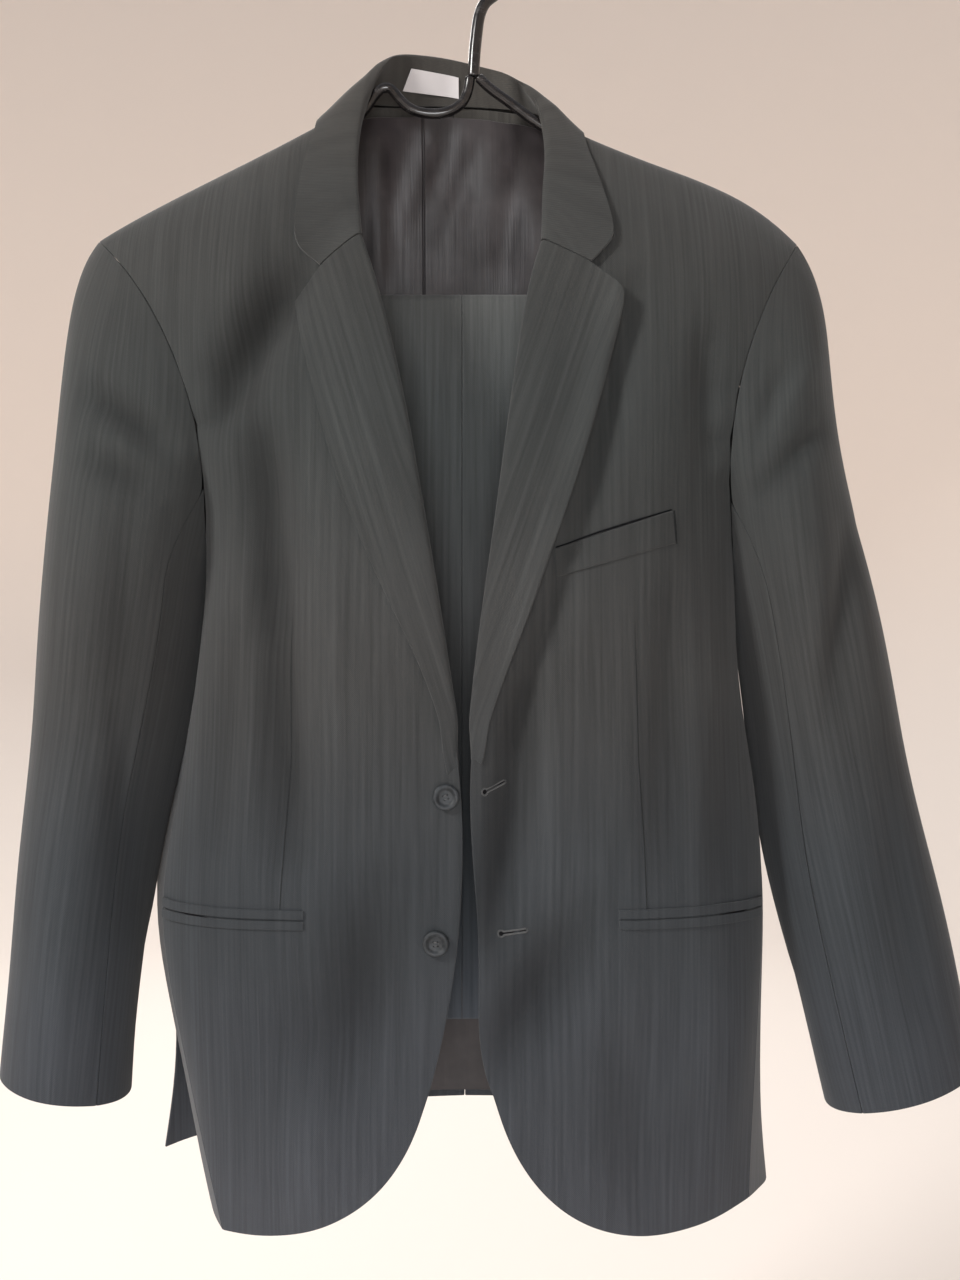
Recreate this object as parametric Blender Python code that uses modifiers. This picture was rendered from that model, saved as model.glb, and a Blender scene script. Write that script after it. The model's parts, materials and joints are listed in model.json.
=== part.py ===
"""A two-button business suit on a plain tubular hanger: an open jacket, and its trousers folded over the bar.

Metres, +Z up, and the front faces -Y. The origin is where a rail carries the hook. Left and right are the
wearer's, so the wearer's right side lies at -X. Each cloth panel is a smooth surface through cross-sections,
given in the tables below, and becomes a closed wall. Panels that are sewn together share the points and the
normals of their seam, with half of GAP on either side.
"""

from collections import namedtuple
from functools import partial
from math import cos, hypot, pi, radians, sin

import bpy
import numpy as np
from mathutils import Vector

# Cloth and seams.
GAP = 0.0003
SHELL = 0.0024
LAPEL_CLOTH = 0.0022
COLLAR_CLOTH = 0.0025
LINING_CLOTH = 0.0012
TROUSER_CLOTH = 0.0012

# Colours and roughness of the materials.
WOOL = ((0.045, 0.050, 0.050), 0.85)
SATIN = ((0.055, 0.045, 0.052), 0.40)
HORN = ((0.050, 0.048, 0.046), 0.35)
PLASTIC = ((0.012, 0.011, 0.011), 0.18)
WOVEN_LABEL = ((0.72, 0.69, 0.70), 0.70)

SIGN = {"right": -1, "left": 1}

# An armhole is an oval loop: its centre, half length, tilt from the horizontal, half depth, and how far its
# front and back bow towards the neck.
Armhole = namedtuple("Armhole", "x z length tilt depth bow")
ARMHOLES = {
    "right": Armhole(-0.2365, -0.3320, 0.1220, 70.6, 0.060, 0.033),
    "left": Armhole(0.2065, -0.3370, 0.1205, 78.3, 0.060, 0.029),
}
NECK = {"right": (-0.090, 0.0, -0.116), "left": (0.052, 0.0, -0.128)}
BACK_NECK = (-0.020, 0.050, -0.098)
# How high the shoulder seam stands above a straight line, at shares of its length.
SHOULDER_SHARES = (0.0, 0.2, 0.4, 0.6, 0.8, 0.92, 1.0)
SHOULDER_LIFT = {
    "right": (0.0, -0.001, -0.001, 0.0, 0.001, 0.001, 0.0),
    "left": (0.0, 0.002, 0.006, 0.011, 0.012, 0.007, 0.0),
}

# Rows of every body panel, from the shoulder to the hem: height at the inner edge, and the angle round the
# armhole at the outer edge. Below the armhole a row is level and has no angle.
Row = namedtuple("Row", "inner angle outer")
ROWS = (
    Row(None, 0, None),
    Row(-0.150, 28, None),
    Row(-0.205, 56, None),
    Row(-0.265, 84, None),
    Row(-0.345, 116, None),
    Row(-0.430, 150, None),
    Row(-0.520, None, -0.520),
    Row(-0.610, None, -0.610),
    Row(-0.700, None, -0.700),
    Row(-0.770, None, -0.800),
    Row(-0.810, None, -0.905),
)
UNDERARM = 5
VENT_TOP = 8
# How each front row leaves the front edge, leaning forward, and turns back at its outer end, in degrees.
FRONT_LEAN = (0, 10, 14, 10, 7, 5, 4, 4, 4, 3, 0)
FRONT_TURN = (0, 14, 22, 30, 42, 58, 61, 65, 64, 60, 58)
BACK_TURN = (0, 12, 18, 25, 40, 58, 50, 34, 40, 50, 40)
# How each level row of the side panels leaves the front seam and comes to the rear one, in degrees.
SIDE_TURN = ((78, 80), (86, 117), (74, 92), (62, 62), (62, 62))

# Neckline, roll line and front edge of each front: height, sideways and depth.
Place = namedtuple("Place", "z x y")
FRONT_EDGE = {
    "right": (
        Place(-0.116, -0.0900, 0.000),
        Place(-0.135, -0.0945, -0.018),
        Place(-0.160, -0.0965, -0.034),
        Place(-0.195, -0.0945, -0.049),
        Place(-0.232, -0.0835, -0.060),
        Place(-0.298, -0.0652, -0.072),
        Place(-0.380, -0.0472, -0.082),
        Place(-0.474, -0.0322, -0.090),
        Place(-0.539, -0.0205, -0.095),
        Place(-0.575, -0.0145, -0.098),
        Place(-0.610, -0.0115, -0.099),
        Place(-0.660, -0.0110, -0.099),
        Place(-0.706, -0.0140, -0.098),
        Place(-0.761, -0.0225, -0.096),
        Place(-0.810, -0.0350, -0.093),
    ),
    "left": (
        Place(-0.128, 0.0520, 0.000),
        Place(-0.150, 0.0555, -0.018),
        Place(-0.175, 0.0565, -0.034),
        Place(-0.205, 0.0540, -0.049),
        Place(-0.238, 0.0435, -0.060),
        Place(-0.298, 0.0315, -0.071),
        Place(-0.380, 0.0200, -0.082),
        Place(-0.493, 0.0042, -0.091),
        Place(-0.550, -0.0040, -0.097),
        Place(-0.590, -0.0080, -0.101),
        Place(-0.634, -0.0050, -0.102),
        Place(-0.660, -0.0010, -0.101),
        Place(-0.710, -0.0010, -0.099),
        Place(-0.757, -0.0030, -0.096),
        Place(-0.810, 0.0090, -0.092),
    ),
}
FRONT_SEAM = {
    "right": (
        Place(-0.430, -0.1930, -0.032),
        Place(-0.520, -0.1955, -0.045),
        Place(-0.610, -0.2080, -0.052),
        Place(-0.700, -0.2195, -0.055),
        Place(-0.800, -0.2000, -0.064),
        Place(-0.905, -0.1740, -0.072),
    ),
    "left": (
        Place(-0.430, 0.1745, -0.032),
        Place(-0.520, 0.1790, -0.045),
        Place(-0.610, 0.1905, -0.052),
        Place(-0.700, 0.1950, -0.056),
        Place(-0.800, 0.1880, -0.057),
        Place(-0.892, 0.1860, -0.052),
    ),
}
REAR_SEAM = {
    "right": (
        Place(-0.430, -0.1930, 0.032),
        Place(-0.520, -0.2010, 0.044),
        Place(-0.610, -0.2455, 0.054),
        Place(-0.700, -0.2470, 0.053),
        Place(-0.800, -0.2090, 0.036),
        Place(-0.905, -0.1830, 0.030),
    ),
    "left": (
        Place(-0.430, 0.1745, 0.032),
        Place(-0.520, 0.1835, 0.044),
        Place(-0.610, 0.2180, 0.053),
        Place(-0.700, 0.2080, 0.050),
        Place(-0.800, 0.1930, 0.042),
        Place(-0.906, 0.2070, 0.036),
    ),
}
# Below the vents the back hangs by itself.
BACK_VENT = {
    "right": (Place(-0.800, -0.2330, 0.0505), Place(-0.897, -0.2430, 0.053)),
    "left": (Place(-0.800, 0.1940, 0.0490), Place(-0.897, 0.1920, 0.052)),
}
CENTRE_BACK = (
    Place(-0.098, -0.020, 0.050),
    Place(-0.150, -0.020, 0.065),
    Place(-0.205, -0.019, 0.073),
    Place(-0.265, -0.018, 0.077),
    Place(-0.345, -0.017, 0.076),
    Place(-0.430, -0.016, 0.072),
    Place(-0.520, -0.014, 0.066),
    Place(-0.610, -0.013, 0.067),
    Place(-0.700, -0.013, 0.073),
    Place(-0.800, -0.012, 0.078),
    Place(-0.866, -0.012, 0.080),
)
# The rounded lower corner of each front: the hem row's two middle control points.
CUTAWAY = {
    "right": ((-0.055, -0.097, -0.887), (-0.112, -0.098, -0.907)),
    "left": ((0.031, -0.096, -0.890), (0.095, -0.097, -0.929)),
}

# Sleeve rings from the sleeve head to the cuff: the ring's outermost and innermost points, the depth of its
# centre, its half depth, and its bow towards the body.
Ring = namedtuple("Ring", "out_x out_z in_x in_z y depth bow")
SLEEVES = {
    "right": (
        Ring(-0.2970, -0.265, -0.1970, -0.456, -0.002, 0.0670, 0.018),
        Ring(-0.3020, -0.330, -0.1975, -0.466, -0.004, 0.0710, 0.006),
        Ring(-0.3095, -0.395, -0.1980, -0.475, -0.005, 0.0730, 0.0),
        Ring(-0.3140, -0.470, -0.1995, -0.487, -0.006, 0.0700, 0.0),
        Ring(-0.3160, -0.540, -0.2095, -0.545, -0.012, 0.0630, 0.0),
        Ring(-0.3195, -0.610, -0.2235, -0.613, -0.021, 0.0570, 0.0),
        Ring(-0.3230, -0.680, -0.2330, -0.682, -0.033, 0.0520, 0.0),
        Ring(-0.3260, -0.745, -0.2370, -0.749, -0.045, 0.0490, 0.0),
        Ring(-0.3270, -0.800, -0.2400, -0.817, -0.056, 0.0465, 0.0),
    ),
    "left": (
        Ring(0.2485, -0.268, 0.1830, -0.463, -0.002, 0.0670, 0.016),
        Ring(0.2515, -0.330, 0.1835, -0.473, -0.004, 0.0700, 0.006),
        Ring(0.2635, -0.395, 0.1840, -0.482, -0.005, 0.0710, 0.0),
        Ring(0.2805, -0.470, 0.1860, -0.492, -0.006, 0.0680, 0.0),
        Ring(0.2935, -0.540, 0.1930, -0.545, -0.012, 0.0620, 0.0),
        Ring(0.3065, -0.610, 0.2005, -0.615, -0.021, 0.0540, 0.0),
        Ring(0.3200, -0.680, 0.2080, -0.684, -0.033, 0.0470, 0.0),
        Ring(0.3305, -0.740, 0.2200, -0.747, -0.045, 0.0430, 0.0),
        Ring(0.3355, -0.796, 0.2370, -0.825, -0.056, 0.0450, 0.0),
    ),
}
SLEEVE_HEAD = 0.018
FRONT_SLEEVE_SEAM = 133
REAR_SLEEVE_SEAM = 284

# The collar from the centre back to the gorge: the fold, and where the fall's edge lies on the back or front
# panel, as a share of the row and as the height on the front.
Fold = namedtuple("Fold", "x y z")
COLLAR_FOLD = {
    "right": (
        Fold(-0.023, 0.0480, -0.0605),
        Fold(-0.050, 0.0420, -0.0600),
        Fold(-0.066, 0.0260, -0.0680),
        Fold(-0.0755, 0.0080, -0.0860),
        Fold(-0.0800, -0.0080, -0.1080),
        Fold(-0.0838, -0.0230, -0.1350),
        Fold(-0.0855, -0.0380, -0.1650),
        Fold(-0.0850, -0.0480, -0.1930),
    ),
    "left": (
        Fold(-0.023, 0.0480, -0.0605),
        Fold(0.001, 0.0450, -0.0690),
        Fold(0.020, 0.0340, -0.0785),
        Fold(0.0350, 0.0180, -0.0955),
        Fold(0.0445, 0.0000, -0.1170),
        Fold(0.0470, -0.0150, -0.1385),
        Fold(0.0460, -0.0320, -0.1680),
        Fold(0.0435, -0.0460, -0.1940),
    ),
}
FALL_ON_BACK = ((0.00, 0.018), (0.17, 0.018), (0.37, 0.022), (0.41, 0.0005))
FALL_ON_FRONT = {
    "right": ((-0.1165, -0.146), (-0.1205, -0.163), (-0.1240, -0.186), (-0.1270, -0.212), (-0.1270, -0.238)),
    "left": ((0.0770, -0.153), (0.0800, -0.169), (0.0840, -0.188), (0.0890, -0.210), (0.0930, -0.232)),
}
# Where the stand is sewn on, at each station: shares of the back neckline, then heights on the front's edge.
STAND_ON_NECK = (0.0, 0.40, 0.75, 0.95)
STAND_ON_FRONT = {"right": (-0.124, -0.145, -0.170, -0.200), "left": (-0.134, -0.152, -0.176, -0.204)}
FALL_LIFT = COLLAR_CLOTH + 0.0016
RIDGE_LIFT = 0.0020
FALL_BOW = 0.0005
# Gorge, notch and lapel, as seen from the front.
Notch = namedtuple("Notch", "gorge_z x z share")
NOTCHES = {
    "right": Notch(-0.232, -0.1090, -0.2530, 0.60),
    "left": Notch(-0.236, 0.0756, -0.2515, 0.60),
}
BREAK_HEIGHT = {"right": -0.590, "left": -0.585}
LAPEL_EDGE = {
    "right": (
        (-0.1290, -0.2765),
        (-0.1190, -0.3070),
        (-0.1060, -0.3610),
        (-0.0900, -0.4130),
        (-0.0640, -0.4730),
        (-0.0460, -0.5090),
        (-0.0280, -0.5530),
        (-0.0185, -0.5950),
    ),
    "left": (
        (0.0960, -0.2700),
        (0.0940, -0.2920),
        (0.0820, -0.3380),
        (0.0660, -0.3920),
        (0.0500, -0.4380),
        (0.0330, -0.4880),
        (0.0130, -0.5390),
        (-0.0020, -0.5880),
    ),
}
ROLL_CLEARANCE = 0.0040
EDGE_CLEARANCE = 0.0015

# Folds of the hanging cloth, as troughs (or ridges, where the depth is negative) from one end to the other.
Trough = namedtuple("Trough", "x z end_x end_z width depth")
FRONT_FOLDS = (
    Trough(-0.112, -0.246, -0.187, -0.345, 0.018, 0.0060),
    Trough(-0.150, -0.235, -0.200, -0.300, 0.014, -0.0030),
    Trough(0.162, -0.290, 0.158, -0.385, 0.016, 0.0050),
    Trough(0.026, -0.600, 0.052, -0.742, 0.022, 0.0060),
    Trough(0.052, -0.680, 0.028, -0.775, 0.018, 0.0040),
    Trough(-0.150, -0.500, -0.120, -0.640, 0.024, 0.0045),
    Trough(-0.070, -0.720, -0.090, -0.860, 0.024, 0.0040),
    Trough(0.120, -0.720, 0.130, -0.870, 0.026, 0.0040),
)
BACK_FOLDS = (
    Trough(-0.100, -0.190, -0.175, -0.330, 0.022, 0.0060),
    Trough(0.070, -0.195, 0.140, -0.340, 0.020, 0.0055),
    Trough(-0.090, -0.480, -0.070, -0.700, 0.026, 0.0050),
    Trough(0.060, -0.500, 0.075, -0.730, 0.026, 0.0050),
    Trough(-0.150, -0.640, -0.165, -0.860, 0.024, 0.0045),
    Trough(0.140, -0.700, 0.130, -0.860, 0.024, 0.0040),
)
SLEEVE_FOLDS = {
    "right": (
        Trough(-0.290, -0.336, -0.222, -0.374, 0.013, 0.0060),
        Trough(-0.232, -0.395, -0.280, -0.440, 0.016, 0.0040),
        Trough(-0.262, -0.520, -0.285, -0.700, 0.018, 0.0040),
    ),
    "left": (
        Trough(0.236, -0.318, 0.247, -0.430, 0.014, 0.0050),
        Trough(0.247, -0.430, 0.256, -0.600, 0.014, 0.0060),
        Trough(0.214, -0.326, 0.190, -0.380, 0.014, 0.0050),
        Trough(0.240, -0.640, 0.262, -0.780, 0.016, 0.0040),
    ),
}

# Pockets and buttons.
WELT_THICK = 0.0020
WELT = ((0.0490, -0.4465, -0.4650), (0.1300, -0.4190, -0.4410))
JET_THICK = 0.0016
JET_HEIGHT = 0.0065
POCKET_MOUTH = 0.0012
POCKET_END = 0.965
Pocket = namedtuple("Pocket", "start_x z length")
POCKETS = {"right": Pocket(-0.1156, -0.6900, 0.150), "left": Pocket(0.0910, -0.6890, 0.150)}
BUTTON_RADIUS = 0.0088
BUTTON_THICK = 0.0034
# A button's turned profile, as shares of its radius and its thickness.
BUTTON_PROFILE = (
    (0.0, 0.62), (0.55, 0.62), (0.72, 1.0), (0.90, 1.0), (1.0, 0.62), (0.92, 0.2), (0.6, 0.0), (0.0, 0.0),
)
BUTTONS = {"button_upper": (-0.0226, -0.6094), "button_lower": (-0.0290, -0.7048)}

# The lining hangs just inside the back, tacked along its neck and side seams.
LINING_CLEARANCE = 0.0045
LINING_TOP = 0.30
LINING_HEM = 0.016
LABEL_SIZE = (0.046, 0.018, 0.0008)

# The hanger.
TUBE = 0.0035
STEM = 0.0042
BAR_HEIGHT = -0.2655
HOOK_ROUTE = (
    (-0.0048, -0.0953), (-0.0040, -0.0800), (-0.0022, -0.0620), (0.0000, -0.0490), (0.0040, -0.0410),
    (0.0110, -0.0355), (0.0185, -0.0290), (0.0232, -0.0200), (0.0236, -0.0110), (0.0195, -0.0025),
    (0.0110, 0.0030), (0.0000, 0.0042), (-0.0110, 0.0020), (-0.0190, -0.0050), (-0.0225, -0.0145),
    (-0.0205, -0.0240),
)
RIGHT_ARM = (
    (-0.0072, -0.0962), (-0.0082, -0.1035), (-0.0120, -0.1135), (-0.0210, -0.1205), (-0.0365, -0.1226),
    (-0.0510, -0.1190), (-0.0600, -0.1105), (-0.0660, -0.1035), (-0.0730, -0.1045), (-0.0830, -0.1190),
    (-0.1000, -0.1345), (-0.1250, -0.1460), (-0.1550, -0.1600), (-0.1900, -0.1785), (-0.2100, -0.1895),
    (-0.2185, -0.1965), (-0.2225, -0.2065), (-0.2215, -0.2240), (-0.2150, -0.2440), (-0.2060, -0.2580),
    (-0.1960, -0.2640), (-0.1880, BAR_HEIGHT), (-0.1800, BAR_HEIGHT),
)
LEFT_ARM = (
    (-0.0008, -0.0962), (0.0060, -0.1030), (0.0220, -0.1145), (0.0470, -0.1330), (0.0700, -0.1450),
    (0.1000, -0.1560), (0.1400, -0.1715), (0.1750, -0.1865), (0.1950, -0.1970), (0.2055, -0.2055),
    (0.2110, -0.2175), (0.2105, -0.2330), (0.2050, -0.2490), (0.1960, -0.2600), (0.1860, -0.2645),
    (0.1780, BAR_HEIGHT), (0.1700, BAR_HEIGHT),
)

# The trousers: four layers over the bar, a leg's outer side and inner side twice.
LAYER_STEP = 0.0020
FIRST_LAYER = TUBE + 0.0004 + TROUSER_CLOTH / 2
FRONT_DROP = 0.5145
OUTSEAM_LENGTH = 1.020
RISE = 0.245
WAISTBAND = 0.038
SEAM_X = -0.0130
Width = namedtuple("Width", "along front back")
LEG_WIDTHS = (
    Width(0.00, 0.103, 0.108),
    Width(0.25, 0.108, 0.114),
    Width(0.50, 0.113, 0.122),
    Width(0.75, 0.130, 0.150),
    Width(0.86, 0.124, 0.150),
    Width(1.02, 0.112, 0.122),
)


def unit(vectors):
    return vectors / np.maximum(np.linalg.norm(vectors, axis=-1, keepdims=True), 1e-12)


def through(knots, rows, at, leave=None):
    """A smooth curve through rows (k, n or 1, d) of points at the knots, read at each of the n places at.

    It sets off in the direction leave, where that is given.
    """
    knots = np.asarray(knots, float)
    step = np.diff(knots)[:, None, None]
    rise = np.diff(rows, axis=0) / step
    middle = (rise[:-1] * step[1:] + rise[1:] * step[:-1]) / (step[:-1] + step[1:])
    first = rise[:1] if leave is None else np.linalg.norm(rise[:1], axis=-1, keepdims=True) * leave
    slope = np.concatenate([first, middle, rise[-1:]])
    below = np.clip(np.searchsorted(knots, at, side="right") - 1, 0, len(knots) - 2)
    width = (knots[below + 1] - knots[below])[:, None]
    s = (at - knots[below])[:, None] / width
    column = np.arange(len(at)) if rows.shape[1] > 1 else 0
    start, end = rows[below, column], rows[below + 1, column]
    depart, arrive = slope[below, column] * width, slope[below + 1, column] * width
    return (
        (2 * s**3 - 3 * s**2 + 1) * start
        + (s**3 - 2 * s**2 + s) * depart
        + (3 * s**2 - 2 * s**3) * end
        + (s**3 - s**2) * arrive
    )


def at_height(places, heights):
    """Points (n, 3) of a table of places at the heights asked for."""
    table = np.array(places)
    heights = np.atleast_1d(np.asarray(heights, float))
    found = through(-table[:, 0], table[:, None, 1:], -heights)
    return np.column_stack([found, heights])


def bezier(controls, u):
    """Rows of four control points (k, 4, 3), read at u (n): (k, n, 3)."""
    weights = np.stack([(1 - u) ** 3, 3 * u * (1 - u) ** 2, 3 * u**2 * (1 - u), u**3])
    return np.einsum("kcd,cn->knd", controls, weights)


def armhole(side, degrees):
    """Points round the armhole, from the shoulder tip by the front to the underarm and up the back."""
    hole, sign = ARMHOLES[side], SIGN[side]
    angle, tilt = np.radians(np.asarray(degrees, float)), radians(hole.tilt)
    along, bow = hole.length * np.cos(angle), hole.bow * np.sin(angle) ** 2
    x = hole.x + sign * (along * cos(tilt) - bow * sin(tilt))
    z = hole.z + along * sin(tilt) + bow * cos(tilt)
    return np.stack([x, -hole.depth * np.sin(angle), z], axis=-1)


def shoulder(side, u):
    """The shoulder seam from the neck to the tip, a little high over the hanger's end."""
    neck, tip = np.array(NECK[side]), armhole(side, 0)
    lift = through(SHOULDER_SHARES, np.array(SHOULDER_LIFT[side])[:, None, None], u)[:, 0]
    return neck + u[:, None] * (tip - neck) + lift[:, None] * np.array([0, 0, 1])


def heading(side, degrees, forward):
    """A level direction away from the centre, turned forward or back by an angle."""
    angle = radians(degrees)
    return np.array([SIGN[side] * cos(angle), -sin(angle) if forward else sin(angle), 0])


def lerped_height(controls):
    low, high = controls[0][2], controls[3][2]
    controls[1][2] = low + (high - low) / 3
    controls[2][2] = low + (high - low) * 2 / 3
    return controls


def seam_place(places, height):
    """A seam's point at a row: its last one at the hem, which has its own height."""
    if height <= ROWS[-1].outer:
        return np.array(places[-1])[[1, 2, 0]]
    return at_height(places, height)[0]


def front_controls(side):
    rows = []
    for index, row in enumerate(ROWS):
        inner = np.array(NECK[side]) if index == 0 else at_height(FRONT_EDGE[side], row.inner)[0]
        if row.angle is not None:
            outer = armhole(side, row.angle)
        else:
            outer = seam_place(FRONT_SEAM[side], row.outer)
        span = hypot(*(outer - inner)[:2])
        one = inner + 0.34 * span * heading(side, FRONT_LEAN[index], True)
        two = outer - 0.30 * span * heading(side, FRONT_TURN[index], False)
        rows.append(lerped_height([inner, one, two, outer]))
    rows[-1][1:3] = [np.array(point) for point in CUTAWAY[side]]
    return np.array(rows)


def side_controls(side):
    """The side panel's rows, from one row above the underarm, which only steers the first."""
    rows = []
    for index, row in enumerate(ROWS[UNDERARM - 1 :]):
        if row.angle is not None:
            front, rear = armhole(side, row.angle), armhole(side, 360 - row.angle)
            one, two = front + (rear - front) / 3, front + (rear - front) * 2 / 3
        else:
            front = seam_place(FRONT_SEAM[side], row.outer)
            rear = seam_place(REAR_SEAM[side], row.outer)
            reach = 0.36 * hypot(*(rear - front)[:2])
            leave, come = SIDE_TURN[index - 2]
            one = front + reach * heading(side, leave, False)
            two = rear + reach * heading(side, come, True)
        rows.append(lerped_height([front, one, two, rear]))
    return np.array(rows)


def back_controls(side):
    rows = []
    for index, row in enumerate(ROWS):
        inner = np.array(CENTRE_BACK[index])[[1, 2, 0]]
        if row.angle is not None:
            outer = armhole(side, 360 - row.angle)
        elif index <= VENT_TOP:
            outer = seam_place(REAR_SEAM[side], row.outer)
        else:
            outer = np.array(BACK_VENT[side][index - VENT_TOP - 1])[[1, 2, 0]]
        span = hypot(*(outer - inner)[:2])
        one = inner + 0.34 * span * heading(side, 0, False)
        two = outer - 0.30 * span * heading(side, BACK_TURN[index], True)
        rows.append(lerped_height([inner, one, two, outer]))
        if index > VENT_TOP:
            rows[-1][1][2] = inner[2]
    return np.array(rows)


CONTROLS = {
    (side, name): make(side)
    for side in SIGN
    for name, make in (("front", front_controls), ("side", side_controls), ("back", back_controls))
}


def row_places(side):
    """How far down the panel each row lies, shared by the front, side and back."""
    middle = bezier(CONTROLS[side, "front"], np.array([0.5]))[:, 0]
    return np.concatenate([[0], np.cumsum(np.linalg.norm(np.diff(middle, axis=0), axis=1))])


KNOTS = {side: row_places(side) for side in SIGN}
NECK_SHARE = 0.32


def neckline(side, u):
    """The back neckline from the centre back to the shoulder seam, as one curve."""
    start, end = np.array(BACK_NECK), np.array(NECK[side])
    sign = SIGN[side]
    one = start + np.array([sign * 0.035, 0.002, 0])
    two = end + np.array([-sign * 0.004, 0.026, (start[2] - end[2]) * 0.45])
    return bezier(np.array([[start, one, two, end]]), u)[0]


def back_top(side, u):
    on_neck = u < NECK_SHARE
    top = shoulder(side, np.clip((u - NECK_SHARE) / (1 - NECK_SHARE), 0, None))
    top[on_neck] = neckline(side, u[on_neck] / NECK_SHARE)
    return top


def trough_depth(points, troughs):
    """How deep the troughs are at each point, seen from the front: soft across and at the ends."""
    depth = np.zeros(len(points))
    seen = points[:, [0, 2]]
    for fold in troughs:
        start, end = np.array([fold.x, fold.z]), np.array([fold.end_x, fold.end_z])
        along = (seen - start) @ (end - start) / ((end - start) @ (end - start))
        nearest = start + np.clip(along, 0, 1)[:, None] * (end - start)
        away = np.linalg.norm(seen - nearest, axis=1)
        fade = 1 - 0.5 * np.clip(np.abs(along - 0.5) * 2, 0, 1) ** 2
        depth += fold.depth * fade * np.exp(-((away / fold.width) ** 2))
    return depth


def draped(points):
    """Body points with the folds of the hanging cloth pressed in."""
    out = unit(np.column_stack([(points[:, 0] + 0.015) / 0.21**2, points[:, 1] / 0.09**2, 0 * points[:, 0]]))
    facing = np.clip(-out[:, 1], 0, 1)
    rear = np.clip(out[:, 1], 0, 1)
    below = np.clip((-0.15 - points[:, 2]) / 0.06, 0, 1)
    depth = trough_depth(points, FRONT_FOLDS) * facing + trough_depth(points, BACK_FOLDS) * rear
    return points - out * (depth * below)[:, None]


def front(side, u, v):
    rows = bezier(CONTROLS[side, "front"], u)
    rows[0] = shoulder(side, u)
    return draped(through(KNOTS[side], rows, v, np.array([0, -1, 0])))


def side_panel(side, u, v):
    rows = bezier(CONTROLS[side, "side"], u)
    rows[1] = armhole(side, ROWS[UNDERARM].angle + u * (360 - 2 * ROWS[UNDERARM].angle))
    return draped(through(KNOTS[side][UNDERARM - 1 :], rows, v))


def back(side, u, v):
    rows = bezier(CONTROLS[side, "back"], u)
    rows[0] = back_top(side, u)
    over = np.clip((u - NECK_SHARE) / 0.1 + 1, 0, 1)[:, None]
    leave = unit(over * np.array([0, 1, 0]) + (1 - over) * np.array([0, 0.35, -1]))
    return draped(through(KNOTS[side], rows, v, leave))


def normals_of(surface, u, v, reach=0.002):
    """Unit normals by differences, pointing to the right of u seen along v."""
    across = surface(u + reach, v) - surface(u - reach, v)
    down = surface(u, v + reach) - surface(u, v - reach)
    return unit(np.cross(across, down))


class Panel:
    """A grid of points on a surface, with the outward normals of the wall that hangs on it."""

    def __init__(self, points, normals, thickness):
        self.points, self.normals, self.thickness = points, normals, thickness

    @classmethod
    def cut(cls, surface, us, vs, turn):
        """A panel of the body, from a surface and the shares and heights of its columns and rows."""
        u, v = (mesh.ravel() for mesh in np.meshgrid(us, vs, indexing="ij"))
        shape = (len(us), len(vs), 3)
        return cls(surface(u, v).reshape(shape), turn * normals_of(surface, u, v).reshape(shape), SHELL)

    def edge(self, where, part=slice(None)):
        """Indices of an edge's points and of their neighbours inside the panel."""
        return {
            "start": ((0, part), (1, part)),
            "end": ((-1, part), (-2, part)),
            "top": ((part, 0), (part, 1)),
            "hem": ((part, -1), (part, -2)),
        }[where]

    def inner(self):
        return self.points - self.normals * self.thickness


def sew(first, first_edge, second, second_edge):
    """Give a seam one set of normals, and open it by GAP."""
    a, b = first.edge(*first_edge), second.edge(*second_edge)
    shared = unit(first.normals[a[0]] + second.normals[b[0]])
    for panel, (edge, inside) in ((first, a), (second, b)):
        panel.normals[edge] = shared
        panel.points[edge] += GAP / 2 * unit(panel.points[inside] - panel.points[edge])


MATERIALS = {}


def material(name, finish):
    if name not in MATERIALS:
        made = bpy.data.materials.new(name)
        made.use_nodes = True
        shader = made.node_tree.nodes["Principled BSDF"]
        shader.inputs["Base Color"].default_value = (*finish[0], 1)
        shader.inputs["Roughness"].default_value = finish[1]
        MATERIALS[name] = made
    return MATERIALS[name]


def link(name, data, made_of):
    obj = bpy.data.objects.new(name, data)
    obj.data.materials.append(made_of)
    COLLECTION.objects.link(obj)
    return obj


def wall(name, outer, inner, made_of, closed=False):
    """A closed wall between two grids of points. A closed one runs round in its first direction."""
    across, down = outer.shape[:2]
    corners = np.arange(across * down).reshape(across, down)
    outside, inside = corners, corners + across * down
    if closed:
        outside, inside = (np.vstack([grid, grid[:1]]) for grid in (outside, inside))
    faces = []

    def strip(a, b):
        for i in range(a.shape[0] - 1):
            for j in range(a.shape[1] - 1):
                faces.append((a[i, j], a[i + 1, j], a[i + 1, j + 1], a[i, j + 1]))
                faces.append((b[i, j], b[i, j + 1], b[i + 1, j + 1], b[i + 1, j]))

    def rim(a, b):
        for i in range(len(a) - 1):
            faces.append((a[i], b[i], b[i + 1], a[i + 1]))

    strip(outside, inside)
    rim(outside[:, 0], inside[:, 0])
    rim(outside[::-1, -1], inside[::-1, -1])
    if not closed:
        rim(outside[0, ::-1], inside[0, ::-1])
        rim(outside[-1], inside[-1])
    mesh = bpy.data.meshes.new(name)
    vertices = np.concatenate([outer.reshape(-1, 3), inner.reshape(-1, 3)])
    mesh.from_pydata(vertices.tolist(), [], [tuple(int(c) for c in face) for face in faces])
    if volume_of(vertices, faces) < 0:
        mesh.flip_normals()
    mesh.shade_smooth()
    mesh.set_sharp_from_angle(angle=radians(50))
    return link(name, mesh, made_of)


def volume_of(vertices, faces):
    """Signed volume of a mesh of four-cornered faces."""
    corner = vertices[np.array(faces)]
    first = np.einsum("ij,ij->i", corner[:, 0], np.cross(corner[:, 1], corner[:, 2]))
    second = np.einsum("ij,ij->i", corner[:, 0], np.cross(corner[:, 2], corner[:, 3]))
    return (first + second).sum() / 6


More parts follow.
